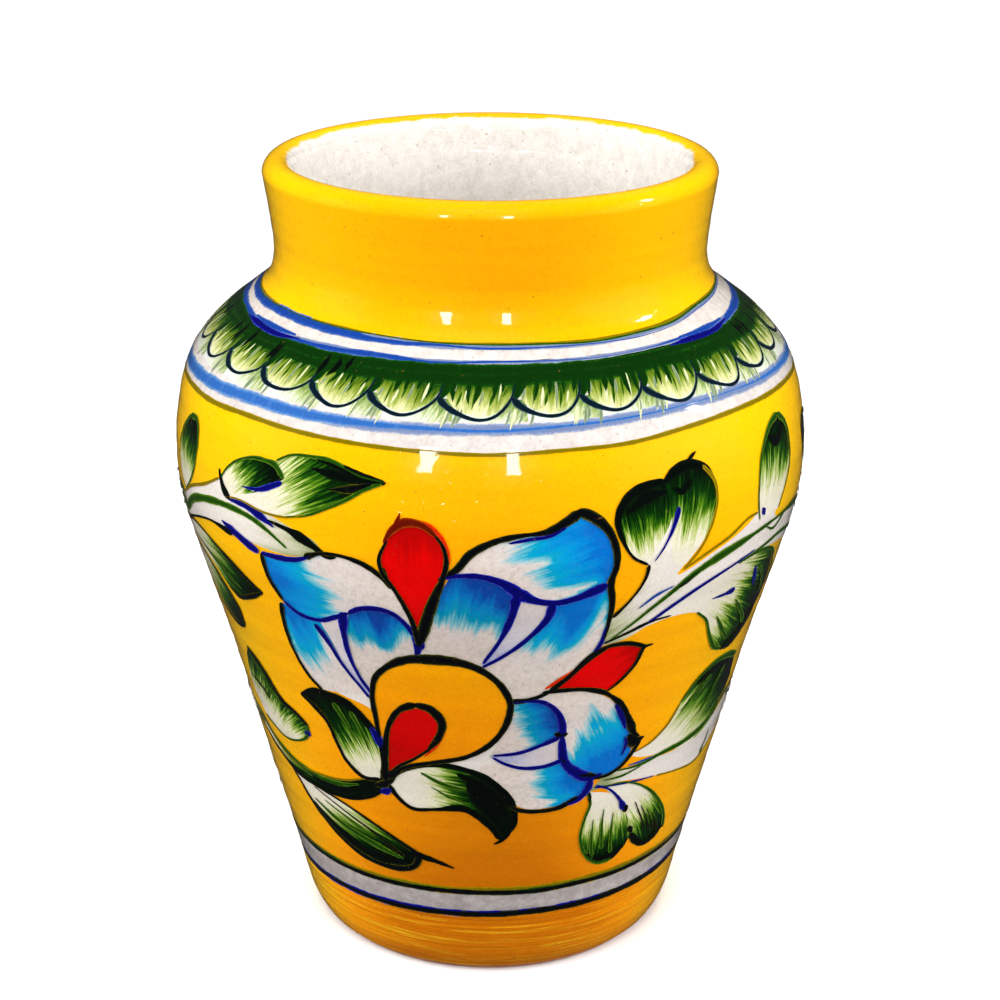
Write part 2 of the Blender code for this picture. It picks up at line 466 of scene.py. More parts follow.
# Paints that fill: the weight of fine and of broad streaks, a seed, hairs to the mm,
# dust on the bare part, and the tones.
BRUSHES = {
    "petal": ("blue petal brushwork", 0.20, 0.24, 0.0, 1.9, 0.30, PETAL),
    "deep": ("deep blue petal brushwork", 0.20, 0.28, 3.0, 2.1, 0.35, DEEP),
    "leaf": ("green leaf brushwork", 0.54, 0.24, 11.0, 3.0, 0.0, LEAF),
    "lappet": ("green lappet brushwork", 0.31, 0.26, 17.0, 2.2, 0.0, LAPPET),
    "hatch": ("pale green hatching", 0.70, 0.2, 23.0, 2.4, 0.0, HATCH),
    "red": ("red petal brushwork", 0.25, 0.3, 29.0, 1.2, 0.0, RED),
    "ember": ("dark red brushwork", 0.25, 0.3, 43.0, 1.2, 0.0, EMBER),
    "stem": ("pale stem brushwork", 0.22, 0.3, 31.0, 2.0, 0.0, STEM),
    "lilac": ("bare white between lines", 0.2, 0.2, 47.0, 2.6, 0.3, LILAC),
    "gold": ("flower heart glaze", 0.15, 0.3, 37.0, 0.8, 0.0, GOLD),
}
# Paints that draw: the colour down the middle of a line, at its rim, and where it fades.
INKS = {
    "black": ("black outline", (4, 6, 10), (24, 30, 8), (92, 88, 6)),
    "navy": ("navy outline", (4, 4, 96), (10, 14, 140), (70, 84, 190)),
    "green": ("green line", (26, 66, 4), (66, 112, 8), (120, 140, 40)),
    "olive": ("olive line", (120, 104, 0), (146, 122, 0), (196, 150, 0)),
    "royal": ("royal blue line", (20, 60, 146), (48, 86, 162), (116, 134, 180)),
    "sky": ("pale blue line", (106, 122, 160), (126, 140, 172), (182, 186, 198)),
    "dry": ("dry red overspill", (214, 30, 0), (232, 70, 0), (246, 120, 0)),
    "umber": ("dry brown overlap", (96, 14, 0), (120, 30, 0), (176, 84, 0)),
    "pine": ("dark green wash", (6, 44, 4), (10, 56, 6), (30, 86, 12)),
    "teal": ("dark teal arc", (6, 22, 30), (10, 34, 50), (60, 84, 110)),
    "soot": ("blackish green paint", (3, 8, 5), (5, 14, 6), (12, 34, 8)),
    "chalk": ("pale green streak", (206, 210, 168), (182, 190, 138), (156, 170, 110)),
    "hatchline": ("grey green streak", (110, 128, 96), (140, 154, 120), (186, 196, 170)),
    "azure": ("soft blue line", (44, 96, 170), (84, 130, 186), (142, 164, 194)),
}

# ---------------------------------------------------------------- turned pieces

def plain(points):
    """Points of a section that aren't on the painted outside."""
    return [(r, z, False) for r, z in points]


def arc(size, start, end, count):
    """Points round the lip's bead, from one angle to another."""
    turns = (math.radians(start + (end - start) * i / (count - 1)) for i in range(count))
    return plain((LIP_CENTRE + size * math.cos(t), HEIGHT - LIP_RADIUS + size * math.sin(t)) for t in turns)


def through(z, depth):
    """The point straight into the wall, by a depth, from a height on the outside. The
    wall thickens towards the lip."""
    t = min(1.0, max(0.0, (z - 126.0) / 20.0))
    depth += (2 * LIP_RADIUS - WALL) * t * t * (3 - 2 * t)
    slope = lean(z)
    n = math.hypot(1.0, slope)
    return radius(z) - depth / n, z + depth * slope / n, False


neck_path = ([through(z, WALL) for z in heights(SEAM, LIP_INNER, 0.9)]
             + arc(LIP_RADIUS, 176.0, 4.0, 23)
             + [(0.0, z, True) for z in heights(LIP_FOOT, NECK_LOW, 0.5)]
             + [(radius(z) - COAT, z, False) for z in heights(NECK_LOW, LIP_FOOT, 2.0)]
             + arc(LIP_RADIUS - COAT, 4.0, 176.0, 12)
             + [through(z, WALL - COAT) for z in heights(LIP_INNER, SEAM, 1.8)])
# The inside coat starts just behind the neck's, so that no gap shows between them.
inside_path = ([through(SEAM + 0.4, WALL - 0.08)] + [through(z, WALL) for z in heights(SEAM, FLOOR_TURN, 1.2)]
               + plain(((32.9, 12.3), (30.9, 10.6), (28.4, 9.4), (25.4, 8.8), (14.0, 8.75), (0.02, 8.75),
                        (0.02, 8.35), (25.6, 8.35)))
               + [through(z, WALL - 0.45) for z in heights(FLOOR_TURN, SEAM - 0.1, 4.8)])
# The ring that the vase stands on, the hollow under it, and the clay up to the floor.
foot_path = plain(((33.55, 0.55), (33.1, 0.12), (32.5, 0.0), (29.2, 0.0), (28.6, 0.12), (28.1, 0.6), (27.5, 2.4),
                   (26.4, 3.0), (13.0, 3.05), (0.02, 3.1), (0.02, 7.9), (25.7, 8.0), (30.8, 9.4), (33.9, 13.0),
                   (37.4, 13.0), (35.6, 6.0), (33.9, 1.6)))
for name, path, material, node, slot in (
        ("neck_and_lip_glaze", neck_path, M_NECK, "neck_glaze", "neck_yellow"),
        ("shoulder_white_glaze", coat_path(NECK_LOW, BAND_LOW, 0.5), M_WHITE, "shoulder_band_glaze", "band_white"),
        ("belly_yellow_glaze", coat_path(BAND_LOW, STRIPE_TOP, 0.9), M_BELLY, "belly_glaze", "belly_yellow"),
        ("foot_white_stripe", coat_path(STRIPE_TOP, STRIPE_LOW, 0.6), M_STRIPE, "foot_stripe_glaze", "stripe_white"),
        ("foot_yellow_glaze", coat_path(STRIPE_LOW, FOOT_LOW, 0.45), M_FOOT, "foot_glaze", "foot_yellow"),
        ("inside_white_glaze", inside_path[::-1], M_INSIDE, "interior_glaze", "tin_white_inside"),
        ("foot_ring_clay", foot_path, M_BARE, "foot_base", "bare_clay")):
    obj = lathe(name, path, material)
    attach(obj, "root")
    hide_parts(node)
for node in ("belly_wall", "shoulder_wall", "shoulder_turn", "neck_collar"):
    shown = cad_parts[node]
    shown.data.materials.clear()
    shown.data.materials.append(M_CLAY)

# ---------------------------------------------------------------- brushwork

dice = random.Random(41)
CROWN = 0.015  # how much thicker a line is down its middle, mm


def curve(points, step=0.6):
    """A smooth line through points of the wall, close to step mm between samples."""
    pts = [Vector(p) for p in points]
    if len(pts) == 2:
        pts = [pts[0], (pts[0] + pts[1]) / 2, pts[1]]
    ends = [pts[0] * 2 - pts[1]] + pts + [pts[-1] * 2 - pts[-2]]
    out = []
    for i in range(1, len(ends) - 2):
        p0, p1, p2, p3 = ends[i - 1:i + 3]
        t0 = 0.0
        t1 = t0 + max((p1 - p0).length, 1e-4) ** 0.5
        t2 = t1 + max((p2 - p1).length, 1e-4) ** 0.5
        t3 = t2 + max((p3 - p2).length, 1e-4) ** 0.5
        n = max(2, int(math.ceil((p2 - p1).length / step)))
        for k in range(n):
            t = t1 + (t2 - t1) * k / n
            a1 = p0 * ((t1 - t) / (t1 - t0)) + p1 * ((t - t0) / (t1 - t0))
            a2 = p1 * ((t2 - t) / (t2 - t1)) + p2 * ((t - t1) / (t2 - t1))
            a3 = p2 * ((t3 - t) / (t3 - t2)) + p3 * ((t - t2) / (t3 - t2))
            b1 = a1 * ((t2 - t) / (t2 - t0)) + a2 * ((t - t0) / (t2 - t0))
            b2 = a2 * ((t3 - t) / (t3 - t1)) + a3 * ((t - t1) / (t3 - t1))
            out.append(b1 * ((t2 - t) / (t2 - t1)) + b2 * ((t - t1) / (t2 - t1)))
    out.append(pts[-1])
    return out


class Patch:
    """Collects painted geometry of one material into one mesh."""

    def __init__(self):
        self.verts, self.faces, self.layers = [], [], {}

    def add(self, verts, faces, **layers):
        base = len(self.verts)
        self.verts += verts
        self.faces += [tuple(base + i for i in f) for f in faces]
        for key, values in layers.items():
            self.layers.setdefault(key, []).extend(values)

    def build(self, name, material):
        obj = new_object(name, self.verts, self.faces, material)
        for key, values in self.layers.items():
            obj.data.attributes.new(key, "FLOAT", "POINT").data.foreach_set("value", values)
        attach(obj, "root")
        return obj


def inside_polygon(p, ring):
    hit = False
    x, y = p
    j = len(ring) - 1
    for i in range(len(ring)):
        xi, yi = ring[i]
        xj, yj = ring[j]
        if (yi > y) != (yj > y) and x < (xj - xi) * (y - yi) / (yj - yi) + xi:
            hit = not hit
        j = i
    return hit


def near(p, ring, limit):
    return any((p[0] - q[0]) ** 2 + (p[1] - q[1]) ** 2 < limit * limit for q in ring)


def off_line(v, line):
    """How far a point lies from a line of points."""
    best = 1e9
    for p, q in zip(line, line[1:]):
        d = q - p
        t = min(1.0, max(0.0, (v - p).dot(d) / max(d.length_squared, 1e-9)))
        best = min(best, (v - p - d * t).length)
    return best


def fill(patch, runs, pale, loaded, lift, comb=None, fan=1.0, shift=0.0, bias=0.0, touch=()):
    """A patch of paint. runs are lines that join end to end round its edge, in
    degrees and mm. Its colour runs from pale to loaded, and the hairs of its brush
    strokes run along comb, fanning out from behind its first point. touch adds
    strokes as (line, width, amount): more paint where the amount is above 0, bare
    glaze where it is below."""
    ring = []
    for run in runs:
        ring += [(p[0] + shift, p[1]) for p in curve(run)[:-1]]
    mid = sum(p[1] for p in ring) / len(ring)
    ref = radius(mid)
    flat = [Vector(sheet(a, z, ref)) for a, z in ring]
    if sum(p.cross(q) for p, q in zip(flat, flat[1:] + flat[:1])) < 0:
        flat.reverse()
    low = (min(p.x for p in flat), min(p.y for p in flat))
    high = (max(p.x for p in flat), max(p.y for p in flat))
    inner_pts = []
    rows = max(1, int((high[1] - low[1]) / PAINT_STEP))
    for i in range(rows + 1):
        y = low[1] + (i + 0.5) * PAINT_STEP
        x = low[0] + (PAINT_STEP / 2 if i % 2 else 0.0)
        while x < high[0]:
            if inside_polygon((x, y), flat) and not near((x, y), flat, PAINT_STEP * 0.5):
                inner_pts.append(Vector((x, y)))
            x += PAINT_STEP
    spots, _, faces, *_ = delaunay_2d_cdt(flat + inner_pts, [], [list(range(len(flat)))], 1, 1e-5)
    w = Vector(sheet(pale[0] + shift, pale[1], ref))
    axis = Vector(sheet(loaded[0] + shift, loaded[1], ref)) - w
    c0, c1 = (Vector(sheet(p[0] + shift, p[1], ref)) for p in (comb or (pale, loaded)))
    lay = c1 - c0
    pivot = c0 - lay * fan
    reach = (fan + 0.6) * lay.length
    heading = math.atan2(lay.y, lay.x)
    touches = [([Vector(sheet(q[0] + shift, q[1], ref)) for q in curve(line, 2.0)], width, amount)
               for line, width, amount in touch]
    tone, hair, verts = [], [], []
    for v in spots:
        a, z = unsheet(v.x, v.y, ref)
        verts.append(surf(a, z, lift))
        q = v - pivot
        turn = math.atan2(q.y, q.x) - heading
        turn = (turn + math.pi) % (2 * math.pi) - math.pi
        t = (v - w).dot(axis) / axis.length_squared + bias
        for line, width, amount in touches:
            t += amount * math.exp(-(off_line(v, line) / width) ** 2)
        tone.append(t)
        hair.append(turn * reach + 50.0 + c0.x * 0.37)
    turned_faces = []
    for f in faces:
        a, b, c = (spots[i] for i in f[:3])
        turned_faces.append(tuple(f) if (b - a).cross(c - a) > 0 else tuple(f[::-1]))
    patch.add(verts, turned_faces, tone=tone, hair=hair)


def stroke(patch, points, widths, lift, shift=0.0, rough=0.06, closed=False):
    """A brush line: a thin ribbon along a smooth line, its width in mm changing
    along it as the brush is pressed."""
    line = [(p[0] + shift, p[1]) for p in curve(points, 0.5)]
    n = len(line)
    total = [0.0]
    for (a0, z0), (a1, z1) in zip(line, line[1:]):
        r = radius((z0 + z1) / 2)
        total.append(total[-1] + math.hypot(math.radians(a1 - a0) * r, z1 - z0))
    phase = dice.random() * 40.0
    verts, faces, across, along = [], [], [], []
    marks = (-1.0, -0.55, 0.0, 0.55, 1.0)
    for i, (a, z) in enumerate(line):
        u = total[i] / max(total[-1], 1e-6) * (len(widths) - 1)
        k = min(int(u), len(widths) - 2)
        f = u - k
        f = f * f * (3 - 2 * f)
        w = widths[k] * (1 - f) + widths[k + 1] * f
        s = total[i]
        w *= 1 + rough * (math.sin(s * 0.9 + phase) + 0.5 * math.sin(s * 2.6 + 2 * phase))
        if not closed:
            tip = min(s, total[-1] - s)
            w *= min(1.0, 0.25 + 0.9 * math.sqrt(max(tip, 0.0) / max(w, 0.2)))
        p, q = line[max(i - 1, 0)], line[min(i + 1, n - 1)]
        r = radius(z)
        rise = math.hypot(1.0, lean(z))
        dx, dy = math.radians(q[0] - p[0]) * r, (q[1] - p[1]) * rise
        size = math.hypot(dx, dy) or 1.0
        nx, ny = -dy / size, dx / size
        for m in marks:
            off = m * w / 2
            verts.append(surf(a + math.degrees(nx * off / r), z + ny * off / rise,
                              lift + CROWN * (1 - m * m)))
            across.append(m)
            along.append(s + phase * 10)
    c = len(marks)
    for i in range(n - 1):
        for k in range(c - 1):
            faces.append((i * c + k, (i + 1) * c + k, (i + 1) * c + k + 1, i * c + k + 1))
    patch.add(verts, faces, across=across, along=along)

# ---------------------------------------------------------------- painted decoration

PAINTS = {key: Patch() for key in (*BRUSHES, *INKS)}
# How far above the glaze each colour lies, mm: what was painted later lies higher.
LEVELS = {"stem": 0.012, "leaf": 0.032, "petal": 0.032, "deep": 0.052, "lilac": 0.072, "red": 0.052,
          "gold": 0.096, "ember": 0.126}
FILL_STEP = 0.010  # between one filled patch and the next, which may overlap it
LINE_LEVEL, LINE_STEP = 0.146, 0.0004  # the lines lie over every fill, each above the last


class Hand:
    """Paints one motif, turned round the axis by turn degrees."""

    def __init__(self, turn):
        self.turn = turn
        self.leafy = True
        self.fills = 0
        self.lines = 0

    def fill(self, kind, runs, pale, loaded, **more):
        self.fills += 1
        fill(PAINTS[kind], runs, pale, loaded, lift=LEVELS[kind] + FILL_STEP * (self.fills % 2), shift=self.turn,
             **more)

    def line(self, kind, points, *widths, **more):
        self.lines += 1
        if kind == "black" and self.leafy and max(widths) >= 1.6:
            kind = "soot"
        stroke(PAINTS[kind], points, widths if len(widths) > 1 else widths * 2,
               lift=LINE_LEVEL + LINE_STEP * self.lines, shift=self.turn, **more)


def upper_left(h):
    """A double leaf, the stem beside it and a slim upright leaf."""
    stem_top = [(-70.5, 92), (-65, 95), (-58.5, 97.5), (-52.5, 100.5)]
    stem_up = [(-52.5, 100.5), (-51, 97)]
    stem_mid = [(-51, 97), (-46, 97.2), (-41.5, 97.5), (-35, 96), (-30, 94.5), (-28.5, 92.6)]
    stem_low = [(-28.5, 92.6), (-34.5, 90.8), (-41.5, 90.5), (-48, 91), (-57, 91), (-64, 89.5), (-71, 87)]
    h.fill("stem", [stem_top, stem_up, stem_mid, stem_low, [(-71, 87), (-70.5, 92)]], (-60, 92), (-30, 93))
    # The double leaf.
    far_top = [(-38.5, 107), (-35.5, 108.5), (-32, 109), (-28, 109), (-24.5, 108), (-21, 107), (-17.5, 106.8)]
    far_low = [(-17.5, 106.8), (-21, 105), (-24, 103), (-27.5, 101), (-31.5, 99), (-36, 97.7), (-41, 97.4),
               (-47, 98), (-51, 97.5)]
    h.fill("leaf", [far_top, far_low, [(-51, 97.5), (-46, 101.5), (-38.5, 107)]], (-42, 98), (-22, 107.5),
           comb=((-46, 97), (-30, 109)), bias=0.04)
    near_top = [(-52.5, 100.5), (-51, 102.5), (-48.5, 104.5), (-45, 106), (-41.5, 106.5), (-38.5, 106),
                (-36.5, 104.3)]
    near_low = [(-36.5, 104.3), (-39.5, 102), (-44.5, 99.8), (-51, 97.5)]
    h.fill("leaf", [near_top, near_low, [(-51, 97.5), (-52.5, 100.5)]], (-50, 98.5), (-40, 106.5),
           comb=((-53, 96), (-42, 106)), bias=0.10)
    h.line("green", far_top, 0.4, 0.5, 0.6, 1.0, 1.2, 0.9, 0.5)
    h.line("black", [(-30, 108.8), (-25.5, 108.2), (-21.5, 107), (-17.2, 106.6)], 0.3, 1.2, 2.0, 0.9)
    h.line("green", far_low[:6], 0.8, 0.7, 0.5, 0.4)
    h.line("black", [(-31, 107.2), (-26.5, 106.8), (-21, 106.4)], 0.4, 2.0, 1.2)
    h.line("black", [(-27.5, 104.2), (-23.6, 104.8), (-19.6, 106.2)], 0.3, 1.5, 0.9)
    h.line("olive", far_low[4:], 0.35, 0.5, 0.4)
    h.line("green", near_top, 0.45, 0.5, 0.8, 1.0)
    h.line("green", [(-37, 104.4), (-38.5, 106.2), (-41, 106.6)], 0.8, 1.2, 0.6)
    h.line("navy", [(-46.5, 100.6), (-42, 101.2), (-39.2, 102.4), (-36.8, 103.6)], 0.25, 0.6, 1.2, 0.9)
    h.line("black", [(-53.2, 102.0), (-52.6, 100.5), (-51.6, 98.6), (-49.6, 97.2)], 0.6, 1.1, 1.6, 1.2)
    h.line("navy", [(-50.2, 97.2), (-46, 97.4), (-42, 96.6), (-38.5, 95.2)], 0.5, 1.2, 1.7, 0.5)
    h.line("black", [(-40, 96.2), (-35, 95.4), (-30.8, 93.9), (-27.6, 92.2), (-26, 92.5)], 0.4, 0.9, 1.9, 1.3, 0.5)
    h.line("olive", [(-70.5, 92), (-65, 95), (-58.5, 97.5), (-53.2, 100.2)], 0.5, 0.7, 0.5)
    h.line("green", [(-71, 88.5), (-65, 92.5), (-59, 94.6), (-51.5, 95.8), (-44.5, 95.6), (-40, 94.2), (-36, 92)],
           1.4, 1.7, 1.5, 1.2, 1.0, 0.5)
    h.line("black", [(-71, 87), (-64, 89.4), (-57, 91), (-50, 90.8)], 0.7, 0.5, 0.5, 1.6)
    h.line("navy", [(-53, 92.4), (-49.5, 91.4), (-45.5, 90.0), (-43, 89.4)], 0.5, 1.7, 1.9, 1.6)
    # Slim upright leaf at the side.
    left = [(-69, 93), (-72.5, 96), (-72.8, 100), (-70.5, 104.5), (-67, 107.5)]
    right = [(-67, 107.5), (-63.5, 107.6), (-62.2, 104.5), (-63, 99.5), (-66, 95.4), (-69, 93)]
    h.fill("leaf", [left, right], (-69, 95), (-65.5, 107), bias=0.10)
    h.line("green", left, 0.4, 0.5, 0.8)
    h.line("green", right, 1.2, 0.6, 0.5, 0.4)
    # Two leaves hanging below the stem.
    a_top = [(-73, 86), (-67, 87.6), (-61.5, 87.2), (-54.5, 85), (-49.5, 82.4), (-45, 80.4)]
    a_low = [(-45, 80.4), (-50, 78), (-54.5, 76.6), (-57.5, 77.5), (-62.5, 80.6), (-68, 83), (-73, 86)]
    h.fill("leaf", [a_top, a_low], (-70, 85), (-49, 78.5), comb=((-73, 86), (-50, 79)), bias=0.02)
    h.line("black", a_top, 0.4, 0.5, 0.6, 1.3, 0.7)
    h.line("black", [(-45, 80.4), (-50, 78), (-54.5, 76.6), (-57.5, 77.6)], 0.5, 1.2, 1.0, 0.5)
    h.line("green", [(-68, 84.4), (-62, 82.6), (-56, 80.4), (-52, 79)], 0.3, 0.9, 1.2, 0.6)
    b_top = [(-75.5, 83.5), (-68, 81.6), (-62.5, 79.2), (-59.2, 76.6), (-56.5, 73), (-56.6, 69.6)]
    b_low = [(-56.6, 69.6), (-60, 68.8), (-65, 70.2), (-70.5, 74.5), (-75.5, 83.5)]
    h.fill("leaf", [b_top, b_low], (-72, 81), (-58, 70.5), comb=((-75, 83), (-58, 70)), bias=0.0)
    h.line("black", b_top, 0.4, 0.5, 0.8, 1.0)
    h.line("black", b_low, 1.0, 0.8, 0.5, 0.5)


def lower_left(h):
    """A stem with a hatched leaf, a long leaf and a small curved one."""
    top = [(-66, 46.5), (-59, 42.8), (-50.5, 41.2), (-43, 41.6), (-35, 42.6), (-27.5, 44.6), (-23.5, 44)]
    low = [(-23.5, 44), (-27, 41), (-31, 39.4), (-36, 38.4), (-45, 37.8), (-54, 39.2), (-66, 43.6)]
    h.fill("leaf", [top, low, [(-66, 43.6), (-66, 46.5)]], (-62, 46), (-40, 38.5), comb=((-62, 42), (-25, 43)),
           bias=0.16)
    h.fill("stem", [[(-31, 42.4), (-27.5, 43.6), (-24.6, 42.8)], [(-24.6, 42.8), (-28, 40.8), (-33, 40.2)],
                    [(-33, 40.2), (-31, 42.4)]], (-30, 42), (-26, 42))
    h.line("green", [(-68, 49), (-62, 44.6), (-54, 42), (-46, 40.8), (-38, 41), (-31, 42.6)], 0.5, 0.9, 1.2, 1.6, 1.4,
           0.4)
    h.line("olive", top, 0.5, 0.6, 0.5, 0.3)
    h.line("black", [(-47, 40.4), (-41, 39.8), (-35, 40.2), (-31, 41.4)], 0.5, 2.0, 2.4, 0.7)
    h.line("black", [(-66, 43.8), (-59, 41), (-54, 39.4), (-48, 38.3), (-41, 38), (-34, 38.6), (-28.5, 40.4),
                     (-24, 43.4)],
           0.6, 0.9, 1.6, 0.7, 0.6, 0.7, 1.0)
    # The hatched leaf.
    edge = [(-60, 64), (-56.5, 62.4), (-53.5, 59.2), (-50.6, 55.8), (-46.5, 54.4), (-43, 52.4)]
    base = [(-43, 52.4), (-44.4, 49.6), (-48, 47.6), (-54, 46.4), (-62, 48.5), (-66, 53), (-64, 59), (-60, 64)]
    h.fill("leaf", [edge, base], (-58, 47.5), (-50, 59.5), comb=((-62, 47), (-50, 60)), bias=0.02)
    h.line("black", edge, 0.7, 1.0, 1.3, 0.9)
    h.line("green", [(-60, 63), (-56.8, 59.6), (-54.4, 56.4), (-50.6, 54.4)], 0.5, 1.4, 1.2, 0.5)
    h.line("black", [(-64, 56.8), (-58.6, 55.6), (-56, 53.8)], 0.4, 0.9, 0.6)
    h.line("green", base[:5], 0.9, 0.5, 0.5, 0.5)
    h.line("navy", [(-44.8, 50.0), (-43.6, 50.6), (-43.0, 51.4)], 1.3, 1.6, 1.2)
    # The long leaf.
    up = [(-56, 40.4), (-48.5, 38.4), (-39.5, 37.2), (-31, 34.8), (-23.5, 31.6), (-17.5, 28.6)]
    down = [(-17.5, 28.6), (-19, 26), (-22.5, 24.6), (-30, 24.4), (-37, 25.8), (-44.5, 29.4), (-50, 33.8),
            (-56, 40.4)]
    h.fill("leaf", [up, down], (-38, 37.4), (-33, 25), comb=((-58, 40), (-14, 27)), bias=0.10, fan=3.0)
    h.line("black", up, 0.5, 0.6, 0.6, 0.7, 1.2)
    h.line("black", down, 1.4, 1.5, 1.2, 1.0, 0.9, 0.5)
    h.line("black", [(-20, 28.9), (-17, 28.4), (-13, 27.6), (-8.8, 26.4)], 1.8, 1.6, 0.9, 0.4)
    h.line("black", [(-47, 37.6), (-38, 35), (-29, 31.6), (-21.6, 27.4)], 0.3, 0.35, 0.6, 0.9)
    h.line("green", [(-48, 34.6), (-40, 31.6), (-31, 29.2), (-22, 27)], 0.4, 1.2, 1.6, 0.8)
    h.line("black", [(-49, 33.6), (-43, 30.2), (-36, 27.4), (-28, 26), (-21, 26.4)], 0.5, 1.6, 2.2, 2.4, 1.6)
    h.line("green", [(-44, 35.4), (-36, 33), (-29, 30.4)], 0.25, 0.6, 0.4)
    # The small curved leaf under the flower.
    top = [(-42.5, 59.6), (-38.5, 61.4), (-34.6, 61.8), (-30, 61), (-26.4, 58.2), (-23.9, 54.6), (-23.4, 49),
           (-24.6, 45)]
    low = [(-24.6, 45), (-29.6, 44.8), (-33.2, 47.6), (-35, 51.5), (-36.2, 55.4), (-39, 58), (-42.5, 59.6)]
    h.fill("leaf", [top, low], (-27, 45.5), (-32.5, 61), comb=((-26, 43), (-34, 60)), bias=0.06)
    h.line("black", top, 0.8, 1.9, 2.2, 1.7, 0.9, 0.9)
    h.line("black", low, 1.2, 1.0, 0.9, 0.9, 1.4, 0.7)
    h.line("green", [(-33.5, 60.4), (-31, 56.5), (-29.6, 53.4)], 1.4, 1.0, 0.3)
    h.line("green", [(-29.5, 59.4), (-27.6, 55.4), (-26.6, 51.4)], 1.2, 0.8, 0.25)
    # The leaf under the flower, that hooks down at its tip.
    top = [(-23, 44.4), (-20.5, 47.4), (-16, 49.6), (-9, 50.5), (-2, 48.6), (3, 44.6), (5.6, 40), (5.4, 36.8),
           (2.4, 33.8)]
    low = [(2.4, 33.8), (0.8, 36.4), (-2.4, 39.2), (-6, 40.9), (-12.5, 40.2), (-18, 39.8), (-21.5, 42.2), (-23, 44.4)]
    h.fill("leaf", [top, low], (-18, 43.4), (-1.5, 44), comb=((-24, 46), (2, 42)), bias=-0.06, fan=2.0)
    h.line("black", top, 0.9, 1.0, 1.0, 1.2, 1.6, 1.8, 1.2, 0.8)
    h.line("black", low, 1.2, 1.6, 1.6, 0.8, 0.9, 1.1)
    h.line("black", [(-5, 46.8), (-1.6, 43.6), (1, 40), (2.2, 37)], 1.2, 5.0, 4.2, 1.8)
    h.line("black", [(-7, 48.9), (-2, 46.2), (2, 42.4), (4, 38.4)], 0.8, 2.6, 3.0, 1.4)
    h.line("black", [(4.9, 37), (4.2, 35), (2.6, 33.4), (1, 32.6)], 1.6, 1.1, 0.8, 0.35)
    h.line("green", [(-15, 48.4), (-10, 46.2), (-5, 45.2)], 0.5, 1.0, 0.7)
    h.line("green", [(-13, 45.4), (-9, 43.4), (-5, 42)], 0.25, 0.45, 0.5)


